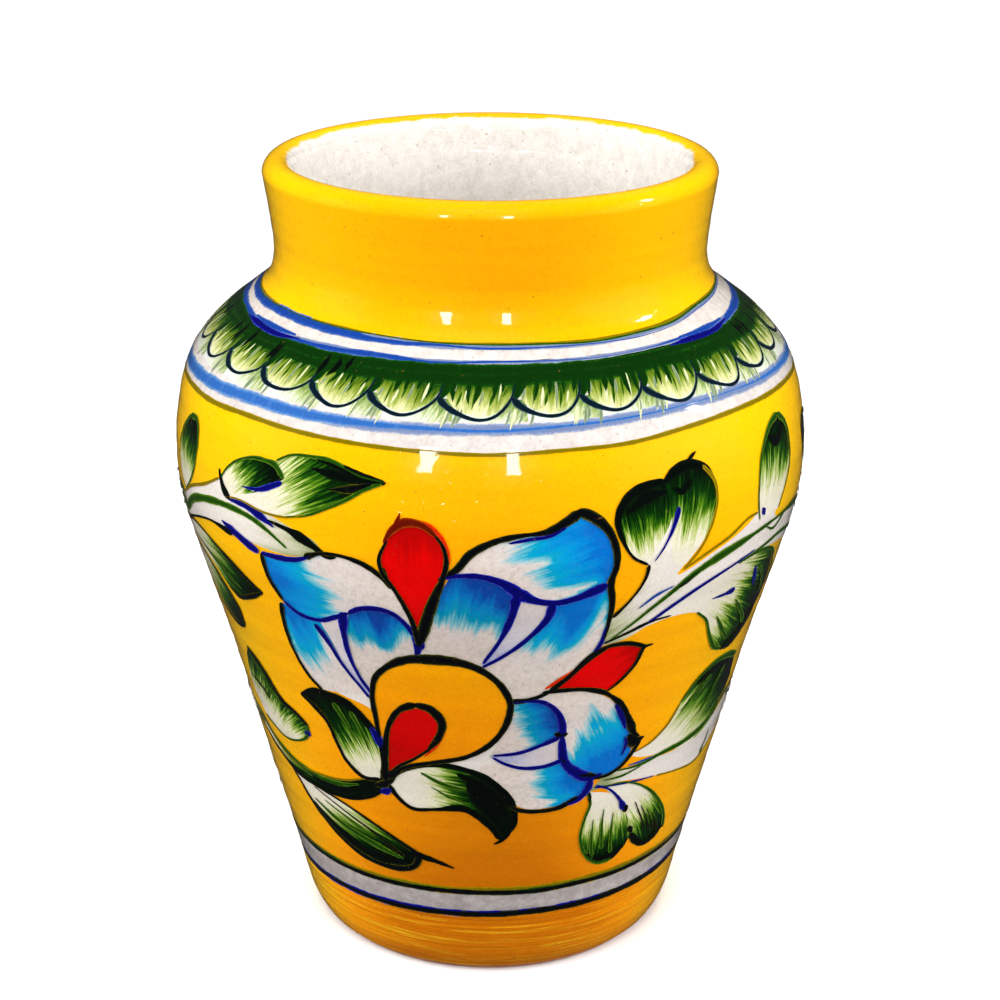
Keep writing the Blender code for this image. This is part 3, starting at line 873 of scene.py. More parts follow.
def right_side(h):
    """The paired leaf, the long stem, and the leaves that spring from it."""
    stem = [(20, 75.6), (21.4, 80.8), (24.6, 84.6), (26.6, 88), (27, 91), (28.5, 94), (30.5, 97.5), (31.5, 100.4)]
    down = [(31.5, 100.4), (36, 95.4), (35.4, 90.6), (33.4, 87.6), (40.5, 89.8), (46.5, 91.6), (52.5, 94.2),
            (56.4, 98),
            (59.4, 94), (59.6, 91.4), (70, 89.6), (79, 88.6)]
    low = [(79, 82), (75, 82), (66.5, 84), (56.5, 85.4), (49.5, 85.2), (43, 83.8), (37, 82.2), (30, 78.6),
           (24.5, 76.2), (20, 75.6)]
    h.fill("stem", [stem, down, [(79, 88.6), (79, 82)], low], (40, 86), (20, 78))
    # The pair of leaves above.
    left = [(27, 91), (24, 93), (22, 96.5), (21.1, 100), (22.5, 103), (25.5, 104.8), (30, 105.3)]
    left_in = [(30, 105.3), (31.8, 102), (30.8, 97.5), (28.6, 94), (27, 91)]
    h.fill("leaf", [left, left_in], (27.5, 91), (26, 103.5), comb=((28, 88), (26, 104)), bias=0.06)
    right = [(30, 105.2), (32.6, 107.2), (35, 108), (37, 107.6), (39.5, 106), (41, 102.5), (40.5, 98), (38.5, 93.5),
             (35, 89.5)]
    right_in = [(35, 89.5), (32.6, 89.6), (31.4, 94), (31.2, 100), (30, 105.2)]
    h.fill("leaf", [right, right_in], (34, 91), (36, 107.5), comb=((33, 87), (36, 106)), bias=0.10)
    h.line("black", left, 0.5, 0.5, 1.0, 1.7, 1.9, 1.4)
    h.line("black", [(23, 101), (26, 103), (30.4, 103.6)], 1.4, 2.6, 1.2)
    h.line("black", [(29.6, 104.9), (32.4, 106.6), (35.4, 107), (38, 106.2)], 1.2, 2.0, 2.3, 1.2)
    h.line("black", [(34.6, 107.4), (36.2, 108.6), (37, 109)], 1.0, 0.8, 0.3)
    h.line("black", [(31.6, 103.8), (33.4, 103.0), (35.4, 104.8)], 0.8, 1.6, 1.4)
    h.line("olive", [(38, 106.4), (40.4, 103.6), (41, 100), (40, 95.8), (37.6, 91.6), (34.6, 88.6)], 0.8, 0.6, 0.5,
           0.4)
    h.line("navy", [(32.6, 100.4), (31.8, 97.6), (30.4, 94.6), (28.2, 91.4)], 1.1, 0.9, 0.4, 0.3)
    h.line("black", [(27.2, 91), (26.8, 88.4), (24.8, 85), (21.6, 81.4)], 0.8, 0.6, 0.5, 0.9)
    # The slim leaf, high on the right.
    left = [(53.4, 92.4), (52.6, 96), (52.8, 101), (54.2, 105), (57.5, 108.4), (61.5, 109.6)]
    right = [(61.5, 109.6), (64.4, 107), (65.4, 102.5), (64.2, 98), (60.4, 92.4)]
    h.fill("leaf", [left, right, [(60.4, 92.4), (53.4, 92.4)]], (56.6, 93), (60, 108.6), comb=((55, 89), (60, 108)),
           bias=0.02)
    h.line("green", left, 0.35, 0.45, 0.8, 1.4)
    h.line("green", right, 1.5, 0.8, 0.45, 0.35)
    h.line("black", [(56.6, 107), (59.6, 105.4), (62.8, 107.4)], 1.0, 2.6, 1.0)
    h.line("navy", [(54.0, 94.6), (54.6, 93.7), (54.9, 93.0)], 0.6, 1.5, 1.2)
    h.line("olive", [(34.4, 88.4), (39.5, 90.4), (44.5, 92), (49.5, 94), (52.6, 94.2)], 0.4, 0.6, 0.5)
    # Long strokes along the stem.
    h.line("green", [(21.6, 76.6), (26, 79.6), (31.4, 83.4), (37, 86.8), (43, 88.8), (52, 90.2), (60, 90.6),
                     (70, 90.2), (79, 88.8)],
           0.35, 0.8, 1.4, 2.0, 0.9, 0.6, 1.4, 1.0)
    h.line("black", [(32, 83.9), (36, 86.2), (39.6, 87.9)], 0.4, 1.4, 0.5)
    h.line("royal", [(26.4, 82.4), (29.4, 84.4), (33, 85.6)], 0.3, 0.7, 0.3)
    h.line("navy", [(28, 78.4), (33, 80.9), (38, 83.2), (43.4, 84.8), (49, 85.9), (54, 86.6)], 0.5, 0.9, 0.8, 0.6,
           0.3)
    h.line("green", [(49, 85.4), (56.5, 86.2), (64, 86.4), (72, 85), (79, 83)], 0.5, 0.7, 0.9, 0.9)
    h.line("black", [(20.6, 76.2), (25, 77.6), (29.6, 79), (34, 79.2)], 0.5, 0.7, 0.4)
    h.line("green", [(56, 90.4), (60, 88.8), (64.4, 90.6)], 0.25, 0.6, 0.8)
    # The cluster below the stem.
    top = [(28.5, 78), (36.5, 82), (43, 84.2), (49, 85.6), (56, 85.6), (63, 83.4), (67, 79), (68.6, 74.6)]
    low = [(68.6, 74.6), (66, 71), (62, 67.2), (57, 65.8), (53, 66.4), (49.5, 67.8), (46.4, 71.4), (44, 75.4),
           (40, 78),
           (34, 78.8), (28.5, 78)]
    h.fill("leaf", [top, low], (41, 81), (60, 72), comb=((36, 84), (60, 70)), bias=-0.10, fan=0.6)
    h.line("green", top[3:], 0.5, 0.8, 1.0, 1.4)
    h.line("black", [(52.6, 66.2), (56.6, 66.2), (61, 68), (64.6, 71.4)], 0.8, 2.2, 2.6, 1.6)
    h.line("green", [(40.5, 78), (44, 75.2), (46.6, 71.2), (49.8, 67.6), (53, 66.2)], 0.5, 0.6, 1.0, 0.8)
    h.line("navy", [(43.8, 79.8), (47, 79.6), (50.6, 79.6)], 0.25, 0.7, 1.7)
    h.line("navy", [(56.4, 82.4), (57.8, 79.6), (58.4, 77.6)], 0.8, 1.5, 0.8)
    h.line("green", [(47, 75.2), (50.4, 71.4), (54, 68)], 0.3, 1.0, 1.2)
    h.line("green", [(52, 77), (57, 72.6), (60, 69.4)], 0.4, 1.0, 1.4)
    h.line("green", [(58, 82), (62, 78.4), (64.4, 74)], 0.5, 0.9, 1.2)
    # The lower leaf and its stem.
    top = [(31.2, 49.4), (34, 49.8), (38, 51), (41.4, 53.6), (43.8, 57.4), (47.2, 61.2), (52, 63.2), (58, 63),
           (64, 61)]
    low = [(64, 61), (66.4, 55), (64, 49.6), (58, 46.6), (50.5, 45.9), (41, 47), (34.6, 48), (31.2, 49.4)]
    h.fill("leaf", [top, low], (40, 48.4), (55, 62.6), comb=((36, 46), (60, 63)), bias=0.0)
    h.line("olive", top[:5], 0.3, 0.5, 0.5)
    h.line("green", top[4:], 0.5, 0.9, 1.4, 1.6)
    h.line("black", [(48, 60), (52.6, 62), (57.6, 61.6)], 0.8, 2.0, 1.6)
    h.line("green", [(44.4, 55.2), (48.6, 58), (53, 60.4)], 0.3, 1.0, 1.6)
    h.line("green", [(52, 52), (56, 56.4), (58.6, 60.6)], 0.3, 0.8, 1.6)
    stem_up = [(27, 46.6), (31, 46.4), (38.5, 46.4), (49, 46), (57.5, 46.8), (70, 51)]
    stem_low = [(70, 43), (64, 40.8), (58, 39.6), (49.5, 40.6), (40, 42), (30, 43.4), (22.6, 42.6)]
    h.fill("stem", [stem_up, [(70, 51), (70, 43)], stem_low, [(22.6, 42.6), (27, 46.6)]], (40, 44), (27, 44))
    h.line("green", [(29, 46.4), (35, 46.2), (41.5, 47), (49, 47.2), (57, 48.2), (66, 51.6), (71, 53.4)], 0.4, 0.9,
           1.2, 1.5, 1.2, 1.0)
    h.line("royal", [(32, 46.9), (35.5, 46.9), (39, 47.1)], 0.3, 0.5, 0.3)
    h.line("green", [(26, 44.8), (31, 44.8), (36, 45.8)], 0.3, 0.6, 0.3)
    h.line("olive", [(70, 43), (64, 40.8), (58, 39.6), (49.5, 40.6), (42, 41.8)], 0.4, 0.5, 0.4)
    h.line("navy", [(24, 43.6), (30, 43), (36, 42.4), (41, 42)], 0.5, 0.5, 0.3)
    h.line("green", [(60.5, 40.4), (62, 42.6), (62.4, 45.2)], 0.9, 0.6, 0.4)
    # The pair of leaves hanging at the bottom.
    stem = [(22.4, 42.8), (23.6, 40), (22.8, 36.4), (22.4, 32.2), (24.4, 28), (28.4, 25.2), (33, 25)]
    seam = [(33, 25), (36.5, 26.6), (37.8, 29.5), (35.6, 33.6), (33, 37.4), (29, 41), (22.4, 42.8)]
    h.fill("leaf", [stem, seam], (27, 40), (29.5, 26), comb=((26, 44), (29, 25)), bias=-0.06)
    right = [(26, 43.4), (32.5, 42.9), (39, 40), (45, 35.4), (49.4, 30.6), (51.3, 26.8)]
    under = [(51.3, 26.8), (47, 25.2), (43.2, 25), (39, 27.4), (37, 29), (35.6, 33.6), (33, 37.4), (26, 43.4)]
    h.fill("leaf", [right, under], (33, 40), (46, 26.4), comb=((30, 44), (46, 26)), bias=-0.05)
    h.line("green", stem, 0.5, 0.6, 0.6, 1.0, 1.6)
    h.line("black", [(24.6, 27.8), (28.4, 25.8), (33, 25.8), (36, 27.4)], 0.8, 2.0, 2.4, 1.0)
    h.line("black", [(22.6, 42.9), (23.2, 41.6), (23.4, 40)], 0.8, 0.8, 0.3)
    h.line("green", right, 0.4, 0.5, 0.8, 1.0)
    h.line("black", [(51.6, 27), (50, 27.2), (47.4, 25.8), (43.4, 25.6), (40, 27.4), (37.6, 29.6)], 0.5, 1.4, 1.4,
           1.3, 1.6, 1.2)
    h.line("navy", [(24.4, 44), (28, 42.4), (31.4, 39.4), (33.6, 36.4)], 0.5, 0.5, 0.6, 1.8)
    h.line("black", [(33.4, 37.4), (34.4, 35.6)], 1.6, 1.2)
    h.line("black", [(36.4, 31.6), (38, 29.8)], 1.4, 1.2)
    for k, top_z in ((25.2, 36), (27.6, 38), (30.6, 36.4)):
        h.line("green", [(k, top_z), (k + 0.4, top_z - 5), (k + 1.6, top_z - 10)], 0.2, 0.6, 1.0)
    for k in range(4):
        h.line("black", [(36.6 + 2.4 * k, 37.4 - 1.5 * k), (40 + 2.5 * k, 32.8 - 1.4 * k),
                         (42.4 + 2.2 * k, 29.4 - 0.8 * k)], 0.2, 0.35, 0.6)


def flower(h):
    """The big flower: blue petals round a yellow heart, and two red buds."""
    h.leafy = False
    hull = [(-40, 88.4), (-34, 88.6), (-27, 90.6), (-20, 89.6), (-13, 84), (-8, 87), (-5, 90.6), (2, 95), (8, 95.6),
            (14, 97.6), (18, 95),
            (18.6, 88), (19, 79), (14.6, 71.4), (13.6, 66.4), (21, 63.6), (28, 57), (29.8, 50), (23, 46.8),
            (17, 42.4), (8, 42.6), (-3, 47),
            (-20, 49), (-23, 60), (-34, 64), (-39, 70), (-39.6, 80), (-40, 88.4)]
    h.fill("stem", [hull], (0, 60), (0, 90))
    # Outer left petals.
    lead = [(-42.4, 89.4), (-41.6, 84.4), (-39.5, 80.6)]
    top_a = [(-42.4, 89.4), (-38.5, 89.6), (-34.5, 90.2), (-31, 91.6)]
    top_b = [(-31, 91.6), (-27.5, 92.6), (-22.5, 92.4), (-18, 90.2), (-15.6, 86.4), (-14, 82.4), (-12.8, 78.4)]
    foot = [(-39.5, 80.6), (-36, 78.8), (-31.6, 78.7), (-28, 80.2), (-25.2, 81.6)]
    inner_top = [(-25.2, 81.6), (-22.4, 83.1), (-19, 83.5), (-16.5, 82.8), (-14.4, 80.8), (-12.8, 78.4)]
    h.fill("petal", [top_a, top_b, inner_top[::-1], foot[::-1], lead[::-1]], (-19, 88.4), (-42.5, 85.5),
           comb=((-8, 84), (-42, 86)), bias=0.02,
           touch=(([(-38, 85), (-31, 83.6)], 2.4, 0.14), ([(-31, 90), (-27, 90)], 2.2, -0.12)))
    low_left = [(-40.2, 80), (-41, 75), (-40.4, 69.8), (-38.6, 65.6), (-35.4, 62.6)]
    low_floor = [(-35.4, 62.6), (-29, 63.4), (-23.4, 64.4)]
    h.fill("petal", [low_left, low_floor, [(-23.6, 64.4), (-27.6, 68.8), (-29.8, 74), (-31.8, 78.8)],
                     [(-31.8, 78.8), (-36, 78.8), (-40.2, 80)]],
           (-28.6, 65), (-38.4, 79), comb=((-26, 58), (-37, 80)), bias=0.12,
           touch=(([(-40.4, 77), (-40, 70), (-37, 64)], 1.0, -0.30), ([(-32.4, 77), (-30, 71), (-27, 66)], 1.3,
                                                                      -0.35)))
    h.fill("lilac", [[(-31.8, 78.8), (-29.8, 74), (-27.6, 68.6), (-23.6, 63.6)],
                     [(-23.6, 63.6), (-25.6, 68), (-26.6, 74), (-25.6, 81)],
                     [(-25.6, 81), (-28, 80.2), (-31.8, 78.8)]], (-26, 66), (-30, 79))
    right_edge = [(-12.8, 78.4), (-12.4, 75.2)]
    h.fill("deep", [inner_top, right_edge, [(-12.4, 75.2), (-17, 73.8), (-20.6, 70.8), (-23, 65.6)],
                    [(-23, 65.6), (-25.6, 69.6), (-26.6, 75), (-25.2, 81.6)]], (-19.4, 72.4), (-19.6, 83),
           comb=((-18, 62), (-20, 84)), bias=0.02,
           touch=(([(-20, 82), (-19.4, 75.4)], 1.4, 0.30), ([(-24, 78), (-24, 74)], 1.2, 0.16),
                  ([(-14.8, 79.6), (-13.8, 76)], 1.3, -0.2)))
    # Upper right petals.
    crown = [(-6.4, 91.2), (-4.6, 94), (-2.6, 96.2), (1, 97.8), (5, 98.4), (9, 98.6), (12, 99.8), (14.8, 101.6)]
    shoulder = [(14.8, 101.6), (17.4, 99.8), (19.6, 97.4), (20.8, 94), (20.8, 91.6), (19.6, 88.8)]
    waist = [(-6.4, 91.2), (-2.8, 91), (1.4, 90.4), (4.6, 88), (8, 86.5), (11.4, 86.1), (15, 87), (19.6, 88.8)]
    h.fill("petal", [crown, shoulder, waist[::-1]], (-2.4, 91.6), (19.4, 96.4), comb=((-14, 86), (19, 96)), bias=0.08,
           touch=(([(-2.6, 91.6), (2, 91), (7, 87.8), (12, 87.4), (17.4, 88.8)], 1.3, -0.42),
                  ([(2, 95.2), (8, 96.4), (13, 98.6)], 1.1, 0.10), ([(4, 92.2), (9, 93.4)], 0.9, -0.14)))
    rib_l = [(4, 88.4), (3.4, 83.6), (1.6, 78.4), (-1.6, 73.4)]
    rib_r = [(10.4, 86), (9.6, 82.4), (6, 78.2), (2.6, 75.4), (-1.4, 73)]
    h.fill("deep", [waist[:4] + [(4, 88.4)], rib_l, [(-1.6, 73.4), (-6, 74.6), (-10.6, 75.2), (-12.6, 76)],
                    [(-12.6, 76), (-11.4, 80), (-9, 86.4), (-6.4, 91.2)]], (-6, 75.6), (-1, 89.6),
           comb=((-8, 64), (-1, 90)), bias=0.0,
           touch=(([(0, 90), (2.6, 86)], 2.0, 0.16), ([(-8.4, 86), (-7.6, 82)], 1.6, 0.10),
                  ([(2, 82), (-1, 77)], 1.4, -0.10)))
    h.fill("lilac", [rib_l[::-1], [(4, 88.4), (7, 86.8), (10.4, 86)], rib_r], (0, 74), (7, 86))
    cheek = [(19.6, 88.8), (20.6, 84.6), (20.6, 80.4), (20, 76), (18.2, 73), (15, 69.6), (11.6, 67.4)]
    under = [(11.6, 67.4), (8, 66.2), (4, 65.2), (2.6, 69.2), (-1.4, 72.8)]
    h.fill("petal", [[(10.4, 86), (15, 87), (19.6, 88.8)], cheek, under, rib_r[::-1]], (5.4, 68.8), (14.6, 84.6),
           comb=((0, 60), (15, 86)), bias=-0.02,
           touch=(([(19.8, 86), (19.4, 80), (17, 74.6), (12, 69)], 1.7, -0.55), ([(14.6, 85), (13.6, 78)], 2.0, 0.22),
                  ([(8.4, 80), (7, 77)], 1.3, 0.10)))
    # The lower right petals.
    flank = [(31.6, 53.4), (32, 50.6), (30.8, 48.2), (27.4, 46.2), (22.8, 46)]
    belly_run = [(22.8, 46), (22, 43.4), (19, 41.2), (14, 40.6), (8.6, 40.6), (4.4, 42.2)]
    divide = [(9.6, 65.2), (12.4, 63.6), (14.2, 60.6), (14.7, 56.6)]
    divide_low = [(14.7, 56.6), (15.4, 51.4), (18.6, 48.4), (22.8, 46)]
    h.fill("petal", [[(9.6, 65.2), (12.4, 66.4), (17.4, 66.4), (22.6, 64.4), (27, 60.8), (29.4, 57), (31.6, 53.4)],
                     flank, divide_low[::-1], divide[::-1]],
           (16, 64), (26, 49.6), comb=((15, 70), (28, 48)), bias=-0.02,
           touch=(([(19.6, 63), (22, 58)], 1.0, 0.24), ([(29.8, 56), (30.8, 51)], 1.1, 0.10),
                  ([(16.4, 56), (18, 51)], 1.0, -0.16),
                  ([(24, 49.6), (28, 50.4)], 1.5, 0.16)))
    h.fill("deep", [[(4.2, 64.8), (6.6, 65.2), (9.6, 65.2)], divide, [(14.7, 56.6), (10.4, 55), (5, 53.6), (0, 53)],
                    [(0, 53), (2.4, 57), (4.4, 61), (4.2, 64.8)]], (3.4, 57), (14.4, 60.6), comb=((-6, 57), (14, 61)),
                    bias=0.10)
    h.fill("lilac", [[(0, 53), (5, 53.6), (10.4, 55), (14.7, 56.6)], [(14.7, 56.6), (15, 53.4), (15.6, 50.8)],
                     [(15.6, 50.8), (10.4, 50.4), (5.4, 51.2), (0, 52.6)]], (4, 52), (14, 54))
    h.fill("petal", [[(-2, 50.8), (3, 51.4), (9.6, 50.4), (15.6, 50.8)], divide_low[1:], belly_run,
                     [(4.4, 42.2), (2.4, 45.6), (-2, 48.6), (-2, 50.8)]],
           (4.4, 46), (17.6, 46.4), comb=((-8, 47), (19, 46)), bias=0.02,
           touch=(([(5, 42.4), (12, 41.6), (19, 43)], 1.1, -0.30),))
    # Buds and heart.
    bud_l = [(-12.4, 76.6), (-13.4, 82), (-15.4, 87), (-17.8, 91), (-18.2, 93.6), (-16.8, 97), (-14.6, 99.6),
             (-12.8, 100.2)]
    bud_r = [(-12.8, 100.2), (-10, 99.4), (-7.8, 97.2), (-7, 94), (-8, 90.4), (-9.8, 86), (-11.4, 81), (-12.4, 76.6)]
    h.fill("red", [bud_l, bud_r], (-12.5, 78), (-12.5, 98))
    side_l = [(11.4, 67.4), (15, 70.4), (18.8, 74.2), (22, 75.4), (26, 75.2), (30, 73.6)]
    side_r = [(30, 73.6), (28.8, 71), (26.4, 67.6), (23.2, 65.4), (17.4, 66.6), (11.4, 67.4)]
    h.fill("red", [side_l, side_r], (13, 67), (28, 74))
    heart_top = [(-23.4, 54.5), (-23.5, 60), (-23.4, 64), (-22.2, 68.2), (-19.4, 71.2), (-15.4, 73.4), (-11, 74),
                 (-6, 73.8), (-2, 72.4),
                 (1.8, 69.2), (4, 64.6)]
    heart_low = [(4, 64.6), (3.2, 60), (0.4, 56), (-4.8, 52.8), (-12.4, 50.9), (-18.6, 49), (-22.6, 46.4),
                 (-23.4, 54.5)]
    h.fill("gold", [heart_top, heart_low], (-10, 52), (-8, 72))
    drop_l = [(-22.8, 46.6), (-22.2, 53.4), (-20.6, 58.4), (-17.8, 61.8), (-13.6, 63)]
    drop_r = [(-13.6, 63), (-10.8, 62), (-9.8, 59.4), (-11, 56), (-13.6, 53.2), (-18, 50.4), (-22.8, 46.6)]
    h.fill("ember", [drop_l, drop_r], (-20, 50), (-14, 62))
    h.line("dry", [(-9.6, 61.6), (-9.2, 58.8), (-10.8, 55.2), (-13.8, 52.1)], 0.3, 0.8, 0.8, 0.3)
    h.line("dry", [(-12.8, 101.0), (-9.8, 100.2), (-7.5, 97.6), (-6.6, 94.6), (-6.9, 92.4)], 0.5, 0.9, 0.9, 0.8, 0.3)
    h.line("dry", [(10.4, 67.6), (13.4, 69.6), (15.8, 71.4)], 0.5, 0.9, 0.4)
    # Outlines of the left petals.
    h.line("navy", top_a, 1.0, 1.2, 1.1, 0.5)
    h.line("black", [(-32.4, 91.2), (-29, 92.6), (-25, 92.9), (-21, 92), (-18.2, 90.2), (-16.6, 88)], 1.6, 0.7, 0.7,
           1.0, 1.1, 0.5)
    h.line("black", [(-17.6, 92), (-17.2, 90.2), (-17, 88.8)], 0.7, 0.8, 0.4)
    h.line("black", lead, 1.2, 1.1, 0.9)
    h.line("navy", foot, 0.9, 0.9, 1.0, 0.9)
    h.line("navy", inner_top, 1.0, 1.2, 1.1, 1.0, 1.2)
    h.line("black", low_left, 1.2, 1.0, 0.8, 0.8, 0.9)
    h.line("navy", [(-33, 77.6), (-31, 74.6), (-28.2, 69.2), (-24, 63.6)], 1.5, 1.0, 0.7, 0.7)
    h.line("navy", [(-26.2, 81.6), (-26.8, 78), (-26.8, 73), (-25.2, 67.6), (-23.4, 64.6)], 2.3, 1.2, 0.8, 0.7)
    h.line("navy", [(-12.9, 79.4), (-12.7, 76.8), (-13.2, 74.2)], 2.2, 1.6, 1.0)
    h.line("navy", [(-12.0, 78), (-12, 76)], 1.2, 1.0)
    # Outlines of the right petals.
    h.line("black", [(-8.4, 90.4), (-5.6, 92.4), (-3, 95.6), (1, 97.8), (5, 98.7), (9.4, 99.2), (12.2, 100.6),
                     (14.8, 102.2)],
           0.9, 1.5, 1.4, 1.1, 0.8, 1.6, 2.2)
    h.line("navy", [(3, 97.4), (6.4, 98), (9.6, 98.4), (12.4, 99.8)], 0.4, 0.7, 0.7, 0.5)
    h.line("black", [(14.2, 102.4), (17, 101), (19.4, 98.6), (20.9, 95), (21.1, 91.8), (20.3, 88.6), (20.6, 86.6)],
           2.2, 1.9, 1.6, 1.4, 1.3, 1.3, 1.2)
    h.line("navy", [(19.8, 88.4), (17.2, 87.4), (14.2, 86.4), (11, 85.9), (7.8, 86.5), (5.4, 87.7), (3, 89.4)], 2.1,
           1.8, 1.4, 1.2, 1.4, 2.2, 1.8)
    h.line("navy", [(-8.2, 90.9), (-4.6, 91.5), (-1.4, 91.4), (2, 90.2), (4.6, 88.3), (7, 86.9)], 0.9, 0.9, 1.1, 1.5,
           2.1, 1.6)
    h.line("navy", [(4.4, 88), (3.8, 84), (2, 79), (-1.2, 73.6)], 2.0, 1.4, 0.8, 0.6)
    h.line("navy", [(10.6, 86), (9.8, 82.8), (6.4, 78.6), (2.4, 75.2), (-1.4, 72.8)], 1.9, 1.3, 0.9, 0.8, 0.6)
    h.line("black", [(20.6, 90.6), (20.4, 88.2), (21, 84.8), (21, 81), (20.4, 77)], 1.3, 1.5, 1.1, 0.9, 0.8)
    h.line("navy", [(20.8, 80), (20, 76.2), (18.2, 73)], 0.7, 1.0, 0.5)
    # Outlines of the lower petals.
    h.line("black", [(3.8, 65.2), (7.4, 65.4), (11, 66.8), (14.4, 69.4), (18.4, 73.2), (22, 75.6)], 1.3, 1.0, 0.9,
           0.8, 0.9, 1.1)
    h.line("black", [(10, 66.9), (14, 67), (18.4, 66.6), (22.6, 65.2), (24.6, 63.8)], 0.9, 1.0, 1.0, 1.2, 0.8)
    h.line("black", [(24, 64.4), (27.2, 61.4), (29.8, 57.4), (31.8, 54.2), (33.4, 53.2)], 0.8, 1.3, 1.3, 1.8, 0.5)
    h.line("navy", [(25.6, 62), (27.8, 58.8), (29.2, 55.8)], 0.6, 1.3, 0.6)
    h.line("black", [(30.2, 54.2), (32.4, 52.2), (34.8, 52.8)], 1.8, 3.2, 0.6)
    h.line("black", [(34, 52.2), (32.4, 49.8), (30.4, 47.6), (27, 46), (23.2, 45.9)], 1.0, 1.0, 0.9, 0.8, 0.9)
    h.line("navy", [(29.4, 54), (30.2, 52), (29.6, 49.6)], 0.4, 0.8, 0.4)
    h.line("navy", [(4.4, 65), (7.4, 65.2), (10.6, 64.6), (13.2, 62.4), (14.6, 59.4), (14.9, 56.4)], 0.6, 0.8, 0.9,
           1.2, 1.4, 1.8)
    h.line("black", [(13.2, 57.4), (14.6, 57), (16, 57.2)], 1.6, 2.4, 0.9)
    h.line("navy", [(14.9, 56.6), (15.2, 53.6), (16, 50.8), (18.6, 48.2), (22.6, 46.2), (25.4, 46.6)], 1.3, 1.6, 1.9,
           2.2, 2.4, 0.8)
    h.line("black", [(19.4, 47.4), (22, 46.6), (24.2, 46.6)], 0.5, 2.0, 0.6)
    h.line("navy", [(14.4, 56.6), (10.8, 55.2), (6, 53.7), (0.6, 53.2)], 1.2, 0.9, 0.8, 0.6)
    h.line("navy", [(16, 51.4), (12, 50.3), (7, 50.2), (3, 51.4), (0.6, 52.8)], 1.2, 0.9, 0.8, 0.5)
    h.line("black", [(15, 51.6), (16.2, 50.8)], 1.6, 1.4)
    h.line("navy", [(22.6, 46), (22.4, 43.8), (20.6, 41.8), (17.4, 40.8)], 1.4, 1.7, 1.4, 0.9)
    h.line("black", [(20.4, 42.2), (16, 40.4), (11, 40), (6.6, 40.6), (4.6, 41.6)], 1.2, 1.1, 1.0, 0.9)
    # Outlines of the buds.
    h.line("umber", [(-17.4, 96.4), (-16, 98.8), (-13.8, 100.4), (-11, 100.2), (-8.6, 98.4)], 0.6, 1.3, 1.6, 1.3, 0.8)
    h.line("umber", [(-15.8, 98.6), (-15, 100.6), (-14.6, 102)], 0.9, 0.9, 0.3)
    h.line("black", bud_l[:6], 1.3, 1.1, 0.9, 0.9, 0.8, 0.5)
    h.line("black", [(-9, 98.8), (-7.6, 96.8), (-7, 94), (-7.6, 91), (-9.2, 86.8), (-11, 81.6), (-12.2, 77.2)], 0.5,
           0.8, 1.0, 1.5, 2.2, 2.1, 1.4)
    h.line("black", side_l, 0.6, 0.7, 0.8, 0.9, 1.1, 0.9)
    h.line("black", [(31.4, 73.9), (29.4, 73.6), (28.4, 70.8), (26, 67.6), (23.2, 65.4)], 0.4, 0.9, 0.8, 0.7, 0.5)
    # Outline of the heart and its drop.
    h.line("black", heart_top + [(3.7, 62.2)], 0.9, 1.1, 1.1, 1.1, 1.3, 1.8, 2.3, 2.2, 1.5, 1.3, 1.3, 1.3)
    h.line("black", [(3.1, 67.2)] + heart_low, 1.2, 1.3, 1.2, 1.1, 1.0, 1.0, 1.0, 1.2, 1.0)
    h.line("black", [(-23.6, 45.2), (-23, 49.8), (-22.2, 53.8), (-20.6, 58.6), (-17.8, 62.2), (-14.4, 63.8)], 2.2,
           1.6, 1.4, 1.0, 1.3, 1.8)
    h.line("black", [(-14.8, 63.7), (-11.6, 63), (-9.5, 60.2), (-10.4, 56.8), (-12.8, 53.8)], 1.8, 1.9, 1.7, 1.4, 0.8)
    h.line("black", [(-12.4, 54), (-16, 51.4), (-20, 49), (-23, 46.2)], 0.7, 0.6, 0.7, 1.0)
    h.line("black", [(-26.6, 43.6), (-24.6, 44), (-22.6, 45.4)], 0.9, 1.8, 1.4)
    h.line("navy", [(-25.2, 57), (-23.8, 54.8), (-23.4, 52.4)], 1.0, 1.9, 1.2)
    h.line("navy", [(-25.6, 42.2), (-24, 42.6), (-22.6, 43.4)], 0.9, 1.6, 1.2)


